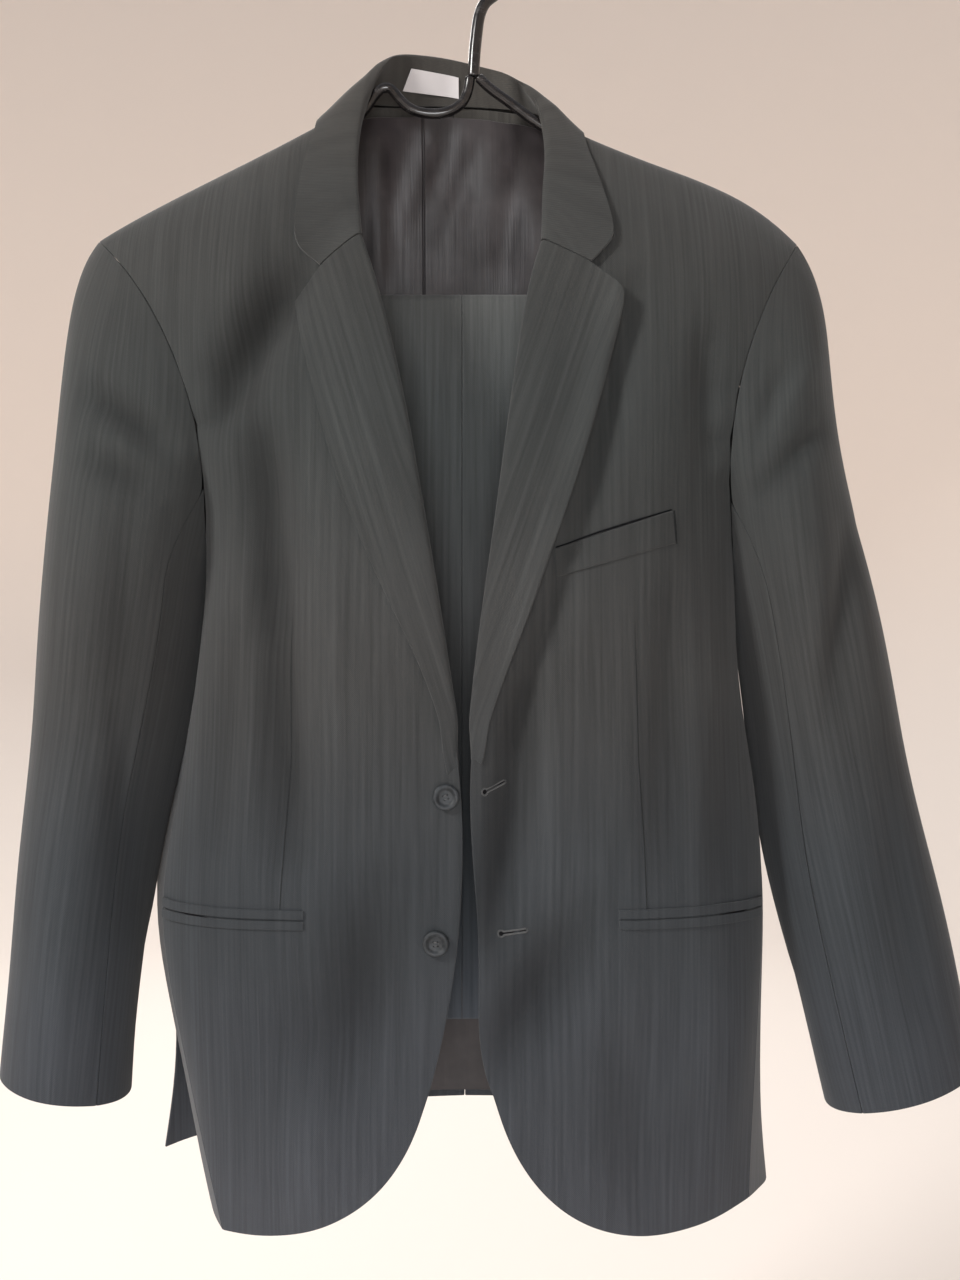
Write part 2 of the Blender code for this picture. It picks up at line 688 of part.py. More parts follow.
def subdivided(knots, parts):
    """The knots, with each stretch between two of them cut into so many equal parts."""
    pieces = [np.linspace(a, b, n, endpoint=False) for a, b, n in zip(knots[:-1], knots[1:], parts)]
    return np.concatenate([*pieces, knots[-1:]])


ROW_PARTS = (3, 2, 2, 2, 2, 2, 2, 2, 2, 2)
ARMHOLE_SAMPLES = sum(ROW_PARTS[:UNDERARM]) + 1
VENT_SAMPLE = sum(ROW_PARTS[:VENT_TOP]) + 1
FRONT_COLUMNS = 13
SIDE_COLUMNS = 5
NECK_COLUMNS = 3


def back_share(share):
    """A share of the front's shoulder seam, as a share of the back's top edge."""
    return NECK_SHARE + (1 - NECK_SHARE) * share


def body_panels(side):
    down = subdivided(KNOTS[side], ROW_PARTS)
    turn = -SIGN[side]
    on_front = np.linspace(0, 1, FRONT_COLUMNS)
    on_neck = np.linspace(0, NECK_SHARE, NECK_COLUMNS, endpoint=False)
    on_back = np.concatenate([on_neck, back_share(on_front)])
    on_side = np.linspace(0, 1, SIDE_COLUMNS)
    panels = {
        "front": Panel.cut(partial(front, side), on_front, down, turn),
        "side": Panel.cut(partial(side_panel, side), on_side, down[ARMHOLE_SAMPLES - 1 :], turn),
        "back": Panel.cut(partial(back, side), on_back, down, -turn),
    }
    below = slice(ARMHOLE_SAMPLES - 1, None)
    sewn = slice(ARMHOLE_SAMPLES - 1, VENT_SAMPLE)
    beside = slice(0, VENT_SAMPLE - ARMHOLE_SAMPLES + 1)
    panels["back"].points[-1, sewn] = panels["side"].points[-1, beside]
    sew(panels["front"], ("top",), panels["back"], ("top", slice(NECK_COLUMNS, None)))
    sew(panels["front"], ("end", below), panels["side"], ("start",))
    sew(panels["back"], ("end", sewn), panels["side"], ("end", beside))
    return panels


def sleeve_rings(side, degrees):
    """Rings (k, n, 3) below the armhole, each with a point at every angle."""
    angle = np.radians(degrees)
    sign = SIGN[side]
    rings = []
    for ring in SLEEVES[side]:
        outer = np.array([ring.out_x, ring.y, ring.out_z])
        inner = np.array([ring.in_x, ring.y, ring.in_z])
        centre, half = (outer + inner) / 2, (outer - inner) / 2
        bow = ring.bow * np.sin(angle) ** 2
        points = centre + np.cos(angle)[:, None] * half
        points[:, 1] -= ring.depth * np.sin(angle)
        points[:, 0] -= sign * bow
        rings.append(points)
    return np.array(rings)


def sleeve(side, head, degrees, places):
    """Sleeve points from the armhole's own points to the cuff, at shares of the sleeve's length."""
    rings = sleeve_rings(side, degrees)
    puff = SLEEVE_HEAD * np.clip(np.cos(np.radians(degrees)), 0, 1)
    lead = rings[0] - head
    before = head - lead * 0.5 - np.outer(puff, [SIGN[side], 0, 0.2])
    rows = np.concatenate([before[None], head[None], rings])
    middle = rows.mean(axis=1)
    knots = np.concatenate([[0], np.cumsum(np.linalg.norm(np.diff(middle, axis=0), axis=1))])
    columns = []
    for place in places:
        at = np.full(len(degrees), knots[1] + place * (knots[-1] - knots[1]))
        points = through(knots, rows, at)
        columns.append(sleeve_draped(side, points, head, place))
    return np.stack(columns, axis=1)


def sleeve_draped(side, points, head, place):
    if place == 0:
        return head.copy()
    centre = points.mean(axis=0)
    out = unit(points - centre)
    facing = np.clip(-out[:, 1] * 1.6, 0, 1)
    settled = min(1, place / 0.12)
    depth = trough_depth(points, SLEEVE_FOLDS[side]) * facing * settled
    return points - out * depth[:, None]


def ring_normals(points, sign):
    """Outward normals of a grid that is closed in its first direction."""
    across = np.roll(points, -1, axis=0) - np.roll(points, 1, axis=0)
    down = np.gradient(points, axis=1)
    return unit(np.cross(across, down)) * sign


SLEEVE_PLACES = (0, 0.03, 0.075, 0.13, 0.19, 0.26, 0.33, 0.41, 0.50, 0.60, 0.70, 0.80, 0.90, 1.0)


def armhole_ring(side, panels):
    """An armhole's points, normals, ways into the body and angles, from the tip round by the front."""
    samples = slice(0, ARMHOLE_SAMPLES)
    stretches = []
    for panel, where, part, backwards in (
        (panels["front"], "end", samples, False),
        (panels["side"], "top", slice(None), False),
        (panels["back"], "end", samples, True),
    ):
        edge, inside = panel.edge(where, part)
        lines = [panel.points[edge], panel.normals[edge], unit(panel.points[inside] - panel.points[edge])]
        stretches.append([line[::-1] if backwards else line for line in lines])
    joined = [np.concatenate([line[:-1] for line in lines]) for lines in zip(*stretches)]
    places = subdivided(KNOTS[side], ROW_PARTS)[samples]
    angles = np.interp(places, KNOTS[side][: UNDERARM + 1], [row.angle for row in ROWS[: UNDERARM + 1]])
    low = angles[-1]
    round_under = np.linspace(low, 360 - low, SIDE_COLUMNS)
    degrees = np.concatenate([angles[:-1], round_under[:-1], (360 - angles)[::-1][:-1]])
    return joined, degrees


def sleeves(side, panels):
    (head, body_normals, into_body), degrees = armhole_ring(side, panels)
    points = sleeve(side, head, degrees, SLEEVE_PLACES)
    normals = ring_normals(points, -SIGN[side])
    if np.einsum("ij,ij->i", normals[:, -1], points[:, -1] - points[:, -1].mean(axis=0)).sum() < 0:
        normals = -normals
    own = normals[:, 0]
    away = unit(points[:, 1] - points[:, 0])
    level = np.clip(1 + np.einsum("ij,ij->i", own, body_normals), 0, 1)[:, None]
    normals[:, 0] = unit(own + level * body_normals)
    points[:, 0] += GAP * unit(away - into_body)
    seam_body = unit(body_normals + level * own)
    set_seam_normals(panels, seam_body)
    made = {}
    front_seam = int(np.argmin(np.abs(degrees - FRONT_SLEEVE_SEAM)))
    rear_seam = int(np.argmin(np.abs(degrees - REAR_SLEEVE_SEAM)))
    count = len(degrees)
    columns = {
        "under": np.arange(front_seam, rear_seam + 1),
        "top": np.arange(rear_seam, front_seam + count + 1) % count,
    }
    for name, picked in columns.items():
        made[name] = Panel(points[picked].copy(), normals[picked].copy(), SHELL)
    sew(made["under"], ("start",), made["top"], ("end",))
    sew(made["under"], ("end",), made["top"], ("start",))
    return made


def set_seam_normals(panels, normals):
    """Write the armhole's shared normals back to the three body panels."""
    samples = slice(0, ARMHOLE_SAMPLES)
    front_end = ARMHOLE_SAMPLES - 1
    side_end = front_end + SIDE_COLUMNS - 1
    panels["front"].normals[panels["front"].edge("end", samples)[0]] = normals[: front_end + 1]
    panels["side"].normals[panels["side"].edge("top")[0]] = normals[front_end : side_end + 1]
    up_back = np.concatenate([normals[side_end:], normals[:1]])
    panels["back"].normals[panels["back"].edge("end", samples)[0]] = up_back[::-1]


def on_front(side, x, z, reach=0.004):
    """Shares of the row and places down the front panel of points seen at x, z."""
    knots = KNOTS[side]
    u, v = np.full(len(x), 0.3), np.interp(-np.asarray(z), -np.array([-0.13, -0.9]), knots[[0, -1]])
    for _ in range(12):
        here = front(side, u, v)[:, [0, 2]]
        by_u = (front(side, u + reach, v)[:, [0, 2]] - here) / reach
        by_v = (front(side, u, v + reach)[:, [0, 2]] - here) / reach
        miss = np.column_stack([x, z]) - here
        scale = by_u[:, 0] * by_v[:, 1] - by_u[:, 1] * by_v[:, 0]
        scale = np.where(np.abs(scale) < 1e-6, 1e-6, scale)
        u = u + np.clip((miss[:, 0] * by_v[:, 1] - miss[:, 1] * by_v[:, 0]) / scale, -0.2, 0.2)
        v = v + np.clip((by_u[:, 0] * miss[:, 1] - by_u[:, 1] * miss[:, 0]) / scale, -0.1, 0.1)
        u, v = np.clip(u, -0.1, 1), np.clip(v, 0, knots[-1])
    return u, v


def front_frame(side, x, z):
    """Points and outward normals of the front panel seen at x, z."""
    u, v = on_front(side, x, z)
    normals = -SIGN[side] * normals_of(partial(front, side), u, v)
    return front(side, u, v), normals


def edge_place(side, z):
    """Place down the front panel where its inner edge passes a height."""
    v = np.linspace(0, KNOTS[side][-1], 400)
    heights = front(side, 0 * v, v)[:, 2]
    return np.interp(-np.asarray(z), -heights, v)


def turned_edge(side, v):
    """The front panel's inner edge with its outward normal, and the direction out along the row."""
    zero = 0 * v
    surface = partial(front, side)
    points = surface(zero, v)
    normals = normals_of(surface, zero, v) * (-1 if side == "left" else 1)
    return points, normals, unit(surface(zero + 0.02, v) - points)


ARCH_SHARE = 0.28


def lapel(side, s, t):
    """The lapel, turned out over the roll line: s runs from the front's edge to its own, t down."""
    notch = NOTCHES[side]
    top, low = edge_place(side, [notch.gorge_z - 0.0004, BREAK_HEIGHT[side]])
    v = top + (low - top) * t
    base, normal, out = turned_edge(side, v)
    clearance = ROLL_CLEARANCE * (1 - 0.72 * np.clip(t, 0, 1) ** 2)
    radius = clearance / 2 + LAPEL_CLOTH
    turn = pi * np.clip(s / ARCH_SHARE, 0, 1)
    arch = (
        base
        - out * (radius * np.sin(turn))[:, None]
        + normal * (clearance / 2 - radius * np.cos(turn))[:, None]
        - out * GAP
    )
    edges = np.array(LAPEL_EDGE[side])
    edge = through(np.linspace(0, 1, len(edges)), edges[:, None], t)
    flat = np.clip((s - ARCH_SHARE) / (1 - ARCH_SHARE), 0, None)
    start = base[:, [0, 2]]
    seen = start + flat[:, None] * (edge - start)
    bend = np.array([notch.x, notch.z]) - (start + notch.share * (edge - start))
    tent = np.minimum(flat / notch.share, (1 - flat) / (1 - notch.share)) * np.clip(1 - t / 0.10, 0, 1)
    seen = seen + tent[:, None] * bend
    over, over_normal = front_frame(side, seen[:, 0], seen[:, 1])
    ease = np.clip(flat, 0, 1) ** 2 * (3 - 2 * np.clip(flat, 0, 1))
    rise = clearance + (EDGE_CLEARANCE - clearance) * ease + LAPEL_CLOTH
    spread = over + over_normal * rise[:, None]
    return np.where((s < ARCH_SHARE)[:, None], arch, spread)


ARCH_STEPS = (0, 0.07, 0.14, 0.21, 0.28)


def lapel_piece(side):
    s = np.concatenate([ARCH_STEPS, np.linspace(ARCH_SHARE, 1, 6)[1:]])
    t = np.array([0, 0.04, 0.10, 0.2, 0.3, 0.4, 0.5, 0.6, 0.7, 0.8, 0.9, 1.0])
    grid_s, grid_t = (mesh.ravel() for mesh in np.meshgrid(s, t, indexing="ij"))
    surface = partial(lapel, side)
    points = surface(grid_s, grid_t).reshape(len(s), len(t), 3)
    turn = -1 if side == "left" else 1
    normals = normals_of(surface, grid_s, grid_t).reshape(points.shape) * turn
    return points, points - normals * LAPEL_CLOTH


COLLAR_ARCH = 0.0042
COLLAR_LEG = 0.2
COLLAR_TURN = 0.5


def collar_seam(side):
    """The seam of the collar's stand: the neckline of the back, then the front's edge down to the gorge."""
    behind = neckline(side, np.array(STAND_ON_NECK))
    edge, _, out = turned_edge(side, edge_place(side, STAND_ON_FRONT[side]))
    return np.concatenate([behind, edge - out * 0.0009])


def collar_falls(side):
    """The lower edge of the collar's fall, lifted off the back, the shoulder seam and the front."""
    turn = -1 if side == "left" else 1
    share, down = np.array(FALL_ON_BACK).T
    surface = partial(back, side)
    lift = FALL_LIFT + RIDGE_LIFT * np.array([0.5, 1.5, 1.5, 0.8])[:, None]
    behind = surface(share, down) - normals_of(surface, share, down) * turn * lift
    x, z = np.array(FALL_ON_FRONT[side]).T
    ahead, normal = front_frame(side, x, z)
    return np.concatenate([behind, ahead + normal * FALL_LIFT])


def collar_side(side, s):
    """Half the collar: s runs over its stand, fold and fall, at every station from the centre back."""
    seam, falls = collar_seam(side), collar_falls(side)[:-1]
    folds = np.array(COLLAR_FOLD[side])
    up = unit(folds - (seam + falls) / 2)
    across = falls - seam
    across = unit(across - np.einsum("ij,ij->i", across, up)[:, None] * up)
    centre = folds - up * COLLAR_ARCH
    leg = unit(centre - across * COLLAR_ARCH - seam)
    facing = -unit(across - np.einsum("ij,ij->i", across, leg)[:, None] * leg)
    bases = seam + leg * 0.0012 + facing * COLLAR_CLOTH
    columns = []
    for share in s:
        turn = pi * (1 - np.clip((share - COLLAR_LEG) / (COLLAR_TURN - COLLAR_LEG), 0, 1))
        point = centre + COLLAR_ARCH * (cos(turn) * across + sin(turn) * up)
        if share < COLLAR_LEG:
            point = bases + (point - bases) * share / COLLAR_LEG
        if share > COLLAR_TURN:
            fall = (share - COLLAR_TURN) / (1 - COLLAR_TURN)
            bow = 4 * FALL_BOW * fall * (1 - fall)
            out = unit(across - np.einsum("ij,ij->i", across, up)[:, None] * up)
            point = lifted_off(side, point + (falls - point) * fall + out * bow)
        columns.append(point)
    return np.concatenate([np.array(columns), gorge_row(side, s)[:, None]], axis=1)


def lifted_off(side, points):
    """Push the collar's stations that lie over the front panel at least FALL_LIFT clear of it."""
    over, normals = front_frame(side, points[:, 0], points[:, 2])
    lack = FALL_LIFT - np.einsum("ij,ij->i", points - over, normals)
    lack = np.clip(lack, 0, None) * (np.arange(len(points)) >= len(FALL_ON_BACK))
    return points + normals * lack[:, None]


def gorge_row(side, s):
    """The collar's end just above the lapel: round the roll, along the gorge, to the notch and the tip."""
    notch = NOTCHES[side]
    base, normal, out = turned_edge(side, edge_place(side, [notch.gorge_z]))
    base, normal, out = base[0], normal[0], out[0]
    radius = ROLL_CLEARANCE / 2 + LAPEL_CLOTH
    turn = pi * np.clip(s / COLLAR_TURN, 0, 1)[:, None]
    lift = ROLL_CLEARANCE / 2 - radius * np.cos(turn)
    arch = base - out * (radius * np.sin(turn) + GAP) + normal * lift
    fall = np.clip((s - COLLAR_TURN) / (1 - COLLAR_TURN), 0, 1)
    path = np.array([base[[0, 2]], (notch.x, notch.z), FALL_ON_FRONT[side][-1]])
    seen = np.column_stack([np.interp(fall, (0, notch.share, 1), path[:, k]) for k in (0, 1)])
    over, over_normal = front_frame(side, seen[:, 0], seen[:, 1])
    ease = fall**2 * (3 - 2 * fall)
    rise = ROLL_CLEARANCE + LAPEL_CLOTH + (FALL_LIFT - ROLL_CLEARANCE - LAPEL_CLOTH) * ease
    spread = over + over_normal * rise[:, None] + np.array([0, 0, 0.0006])
    return np.where((s < COLLAR_TURN)[:, None], arch + np.array([0, 0, 0.0004]), spread)


def collar_rows(s):
    """The whole collar's stations, from the right gorge round the back to the left, and their places."""
    right, left = collar_side("right", s), collar_side("left", s)
    right[:, 0] = left[:, 0] = (right[:, 0] + left[:, 0]) / 2
    rows = np.concatenate([right[:, ::-1], left[:, 1:]], axis=1).transpose(1, 0, 2)
    folds = np.concatenate([COLLAR_FOLD["right"][::-1], COLLAR_FOLD["left"][1:]])
    steps = np.linalg.norm(np.diff(folds, axis=0), axis=1)
    knots = np.concatenate([[0], 0.035 + np.cumsum([0, *steps])])
    return rows, np.append(knots, knots[-1] + 0.035)


def collar_grid(s, places=None):
    """Collar points at shares of its profile and places along it, its own stations unless given."""
    rows, knots = collar_rows(s)
    places = knots if places is None else places
    columns = [through(knots, rows, np.full(len(s), place)) for place in places]
    return np.stack(columns, axis=1)


def collar_normals(s, places=None, reach=0.002):
    if places is None:
        places = collar_rows(s)[1]
    across = collar_grid(np.clip(s + reach, 0, 1), places) - collar_grid(np.clip(s - reach, 0, 1), places)
    along = collar_grid(s, places + reach) - collar_grid(s, places - reach)
    normals = unit(np.cross(across, along))
    fold = int(np.argmin(np.abs(s - (COLLAR_LEG + COLLAR_TURN) / 2)))
    return normals if normals[fold, len(places) // 2, 2] > 0 else -normals


def collar_piece():
    s = np.array([0, 0.1, 0.2, 0.26, 0.32, 0.38, 0.44, 0.5, 0.6, 0.7, 0.8, 0.9, 1.0])
    knots = collar_rows(s)[1]
    over_shoulder = (1, 1, 1, 1, 2, 2, 2, 1)
    places = subdivided(knots, over_shoulder + over_shoulder[::-1])
    return collar_grid(s, places), collar_normals(s, places)


def tube(name, route, radius, made_of, parts=2):
    """A round tube along a smooth curve through a short route in the plane of the hanger."""
    route = np.array([(x, 0.0, z) for x, z in route])
    steps = np.linalg.norm(np.diff(route, axis=0), axis=1)
    knots = np.concatenate([[0], np.cumsum(steps)])
    points = through(knots, route[:, None], subdivided(knots, (parts,) * len(steps)))
    curve = bpy.data.curves.new(name, "CURVE")
    curve.dimensions = "3D"
    curve.bevel_depth = radius
    curve.bevel_resolution = 2
    curve.use_fill_caps = True
    spline = curve.splines.new("POLY")
    spline.points.add(len(points) - 1)
    for point, place in zip(spline.points, points):
        point.co = (*place, 1)
    return link(name, curve, made_of)


def layer_path(stage, offset):
    """A layer of the folded trousers: up the front (0 to 1), over the bar (to 2), down behind (to 3)."""
    turn = pi * np.clip(stage - 1, 0, 1)
    behind = OUTSEAM_LENGTH - FRONT_DROP - pi * (FIRST_LAYER + 1.5 * LAYER_STEP)
    y = -offset * np.cos(turn)
    z = BAR_HEIGHT + offset * np.sin(turn)
    return y, z - FRONT_DROP * np.clip(1 - stage, 0, 1) - behind * np.clip(stage - 2, 0, 1)


def leg_place(stage):
    """How far up the leg a stage of the path lies."""
    turn = pi * (FIRST_LAYER + 1.5 * LAYER_STEP)
    behind = OUTSEAM_LENGTH - FRONT_DROP - turn
    lengths = (FRONT_DROP, turn, behind)
    return sum(length * np.clip(stage - start, 0, 1) for start, length in enumerate(lengths))


def swept(sections, stages, edge_sign):
    """Carry flat sections of a folded panel along the path over the bar."""
    columns = []
    for section, stage in zip(sections, stages):
        y, z = layer_path(np.full(len(section), stage), section[:, 1])
        columns.append(np.column_stack([SEAM_X + edge_sign * section[:, 0], y, z]))
    return np.stack(columns, axis=1)


LEG_STAGES = (0, 0.25, 0.5, 0.75, 1, 1.1667, 1.3333, 1.5, 1.6667, 1.8333, 2, 2.25, 2.5, 2.6, 2.7, 2.85)
BAND_STAGE = 2.92


def trouser_panel(name, layers, edge_sign, column):
    """Half a leg, folded along its crease: an outer layer and an inner layer joined by a tight turn."""
    outer_layer, inner_layer = (FIRST_LAYER + LAYER_STEP * layer for layer in layers)
    stages = np.array(LEG_STAGES + (BAND_STAGE,))
    table = np.array(LEG_WIDTHS)
    reach = np.interp(leg_place(stages), table[:, 0], table[:, column])
    inner_share = np.clip((2.6 - stages) / 0.1, 0.08, 1)
    middle = (outer_layer + inner_layer) / 2
    radius = abs(outer_layer - inner_layer) / 2
    toward = 1 if outer_layer > inner_layer else -1
    outside, inside = [], []
    for width, share in zip(reach, inner_share):
        flat = width - radius
        last = flat * (1 - share) + GAP / 2
        section = [(GAP / 2 + flat * part, outer_layer) for part in (0, 0.35, 0.75)]
        turns = np.linspace(0, pi, 5)
        section += [(flat + radius * sin(a), middle + toward * radius * cos(a)) for a in turns]
        section += [(flat + (last - flat) * part, inner_layer) for part in (0.3, 0.65, 1)]
        section = np.array(section)
        along = np.gradient(section, axis=0)
        along[3], along[7] = (1, 0), (-1, 0)
        normal = unit(np.column_stack([-along[:, 1], along[:, 0]])) * toward
        outside.append(section + normal * TROUSER_CLOTH / 2)
        inside.append(section - normal * TROUSER_CLOTH / 2)
    grids = [swept(sections, stages, edge_sign) for sections in (outside, inside)]
    wall(name, *grids, material("wool", WOOL))


def waistband(name):
    """A flat ring at the trousers' waist, behind the jacket's back lining."""
    lowest, highest = FIRST_LAYER, FIRST_LAYER + 3 * LAYER_STEP
    middle, radius = (lowest + highest) / 2, (highest - lowest) / 2
    ends = ((1, LEG_WIDTHS[-1].front), (-1, LEG_WIDTHS[-1].back))
    grids = []
    for reach in (radius + TROUSER_CLOTH / 2, radius - TROUSER_CLOTH / 2):
        ring = [
            (sign * (width - radius + reach * cos(a)), middle + sign * reach * sin(a))
            for sign, width in ends
            for a in np.linspace(-pi / 2, pi / 2, 5)
        ]
        grids.append(swept([np.array(ring)] * 2, (BAND_STAGE + 0.0008, 3), 1))
    wall(name, *grids, material("wool", WOOL), closed=True)


APPLIED = 0.0008


def laid_on(points, normals, thickness):
    """Outer and inner grids of a piece that lies on a panel."""
    return points + normals * (APPLIED + thickness), points + normals * APPLIED


def round_body(side, share, down):
    """Points and outward normals of the front (share 0 to 1) and on round the side panel (1 to 2)."""
    ahead, beside = partial(front, side), partial(side_panel, side)
    on_the_front = (share <= 1)[:, None]
    near, far = np.clip(share, 0, 1), np.clip(share - 1, 0, 1)
    points = np.where(on_the_front, ahead(near, down), beside(far, down))
    normals = np.where(on_the_front, normals_of(ahead, near, down), normals_of(beside, far, down))
    return points, -SIGN[side] * normals


def jet_piece(side, jet):
    """One of the two narrow jets of a hip pocket, which ends just before the side seam."""
    pocket = POCKETS[side]
    share, down = on_front(side, np.array([pocket.start_x]), np.array([pocket.z]))
    shares = np.linspace(share[0], POCKET_END, 13)
    near = POCKET_MOUTH / 2
    edges = (-JET_HEIGHT, -near) if jet == "upper" else (near, JET_HEIGHT)
    u, v = (mesh.ravel() for mesh in np.meshgrid(shares, down[0] + np.linspace(*edges, 3), indexing="ij"))
    points, normals = (part.reshape(13, 3, 3) for part in round_body(side, u, v))
    return laid_on(points, normals, JET_THICK)


def welt_piece():
    """The slanted breast pocket welt on the left front."""
    (x0, top0, low0), (x1, top1, low1) = WELT
    a, b = (mesh.ravel() for mesh in np.meshgrid(np.linspace(0, 1, 9), np.linspace(0, 1, 4), indexing="ij"))
    x = x0 + (x1 - x0) * a + 0.002 * b
    z = (1 - b) * (top0 + (top1 - top0) * a) + b * (low0 + (low1 - low0) * a)
    points, normals = (part.reshape(9, 4, 3) for part in front_frame("left", x, z))
    return laid_on(points, normals, WELT_THICK)


def lining_piece():
    """The satin just inside the back, from the neck to above the hem, tacked along its edges."""
    halves = []
    for side in SIGN:
        on_neck = np.array([0, NECK_SHARE * 2 / 3])
        beyond = back_share(np.arange(0, FRONT_COLUMNS - 1, 2) / (FRONT_COLUMNS - 1))
        shares = np.concatenate([on_neck, beyond])
        rows = subdivided(KNOTS[side], ROW_PARTS)[1::2]
        downs = np.concatenate([[0], rows[:-1], [KNOTS[side][-1] - LINING_HEM]])
        u, v = (mesh.ravel() for mesh in np.meshgrid(shares, downs, indexing="ij"))
        surface = partial(back, side)
        shape = (len(shares), len(downs), 3)
        points = surface(u, v).reshape(shape)
        normals = SIGN[side] * normals_of(surface, u, v).reshape(shape)
        for grid in (points, normals):
            grid[:, 0] += LINING_TOP * (grid[:, 1] - grid[:, 0])
        edge = np.clip((shares[-1] - u) / 0.2, 0, 1) * np.clip((v - downs[1]) / 0.05, 0, 1)
        tacked = 0.0006 + 0.0030 * np.clip((v - downs[1]) / 0.02, 0, 1)
        inward = (SHELL + tacked + LINING_CLEARANCE * edge).reshape(shape[:2])
        halves.append((points - normals * inward[..., None], normals))
    (right, right_normals), (left, left_normals) = halves
    right[0] = left[0] = (right[0] + left[0]) / 2
    right_normals[0] = left_normals[0] = unit(right_normals[0] + left_normals[0])
    outer = np.concatenate([right[::-1], left[1:]])
    normals = np.concatenate([right_normals[::-1], left_normals[1:]])
    return outer, outer - normals * LINING_CLOTH


def label_piece(points, normals):
    """A blank woven label on the collar's stand, facing the neck."""
    width, height, thickness = LABEL_SIZE
    stand = points[:3].transpose(1, 0, 2)
    facing = normals[:3].transpose(1, 0, 2)
    centre_x, low = -0.037, 0.22
    behind = np.nonzero(stand[:, 0, 1] > 0.025)[0]
    order = behind[np.argsort(stand[behind, 0, 0])]
    tall = np.linalg.norm(stand[order, 2] - stand[order, 0], axis=1).mean()
    grids = []
    for x in np.linspace(centre_x - width / 2, centre_x + width / 2, 7):
        column = []
        for up in np.linspace(low, low + height / tall, 3):
            spot, way = (
                np.array([np.interp(x, stand[order, 0, 0], blend(grid, order, up, axis)) for axis in range(3)])
                for grid in (stand, facing)
            )
            column.append((spot, unit(way)))
        grids.append(column)
    spots = np.array([[cell[0] for cell in column] for column in grids])
    ways = np.array([[cell[1] for cell in column] for column in grids])
    return spots + ways * (APPLIED + thickness), spots + ways * APPLIED


def blend(grid, order, up, axis):
    """Values between the stand's lower and upper edges."""
    return (1 - up) * grid[order, 0, axis] + up * grid[order, 2, axis]


def button(name, x, z):
    """A turned disc with a raised rim, facing out of the front panel."""
    over, normal = front_frame("right", np.array([x]), np.array([z]))
    centre = over[0] + normal[0] * GAP
    mesh = bpy.data.meshes.new(name)
    mesh.from_pydata(
        [(radius * BUTTON_RADIUS, 0, height * BUTTON_THICK) for radius, height in BUTTON_PROFILE],
        [(i, i + 1) for i in range(len(BUTTON_PROFILE) - 1)],
        [],
    )
    obj = link(name, mesh, material("horn", HORN))
    screw = obj.modifiers.new("turn", "SCREW")
    screw.steps = screw.render_steps = 20
    screw.use_merge_vertices = True
    screw.merge_threshold = 1e-5
    screw.use_normal_calculate = True
    obj.rotation_mode = "QUATERNION"
    obj.rotation_quaternion = Vector(normal[0].tolist()).to_track_quat("Z", "Y")
    obj.location = centre
    return obj


def clear_scene():
    for obj in list(bpy.data.objects):
        bpy.data.objects.remove(obj)
    collection = bpy.data.collections.new("business_suit")
    bpy.context.scene.collection.children.link(collection)
    return collection


COLLECTION = clear_scene()


def build():
    wool = material("wool", WOOL)
    body = {side: body_panels(side) for side in SIGN}
    sew(body["right"]["back"], ("start",), body["left"]["back"], ("start",))
    for side, panels in body.items():
        arms = sleeves(side, panels)
        for name, panel in panels.items():
            wall(f"{name}_{side}", panel.points, panel.inner(), wool)
        for name, panel in arms.items():
            wall(f"sleeve_{name}_{side}", panel.points, panel.inner(), wool)
        wall(f"lapel_{side}", *lapel_piece(side), wool)
    trouser_panel("trouser_front_left", (3, 2), 1, 1)
    trouser_panel("trouser_back_left", (3, 2), -1, 2)
    trouser_panel("trouser_front_right", (0, 1), 1, 1)
    trouser_panel("trouser_back_right", (0, 1), -1, 2)
    waistband("waistband")
    black = material("plastic", PLASTIC)
    tube("hanger_hook", HOOK_ROUTE, STEM, black)
    tube("hanger_arm_right", RIGHT_ARM, TUBE, black)
    tube("hanger_arm_left", LEFT_ARM, TUBE, black)
    ends = (RIGHT_ARM[-1][0] + GAP, LEFT_ARM[-1][0] - GAP)
    tube("hanger_bar", ((ends[0], BAR_HEIGHT), (ends[1], BAR_HEIGHT)), TUBE, black, 1)
    points, normals = collar_piece()
    wall("collar", points, points - normals * COLLAR_CLOTH, wool)
    for name, place in BUTTONS.items():
        button(name, *place)
    for side in SIGN:
        for jet in ("upper", "lower"):
            wall(f"pocket_{jet}_jet_{side}", *jet_piece(side, jet), wool)
    wall("breast_pocket_welt", *welt_piece(), wool)
    wall("lining_back", *lining_piece(), material("satin", SATIN))
    wall("neck_label", *label_piece(points, normals), material("label", WOVEN_LABEL))


build()
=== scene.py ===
"""The looks of a business suit on its hanger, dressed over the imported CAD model.

Every cloth piece is a fine skin on its own solid: the solid's faces with softened edges, subdivided,
then creased and given the lie of its stripes. Metres, +Z up, the front of the jacket towards -Y.
"""

import json
from collections import namedtuple
from math import cos, pi, radians, sin

import bmesh
import bpy
import numpy as np
from mathutils import Matrix, Vector
from mathutils.bvhtree import BVHTree
from mathutils.kdtree import KDTree

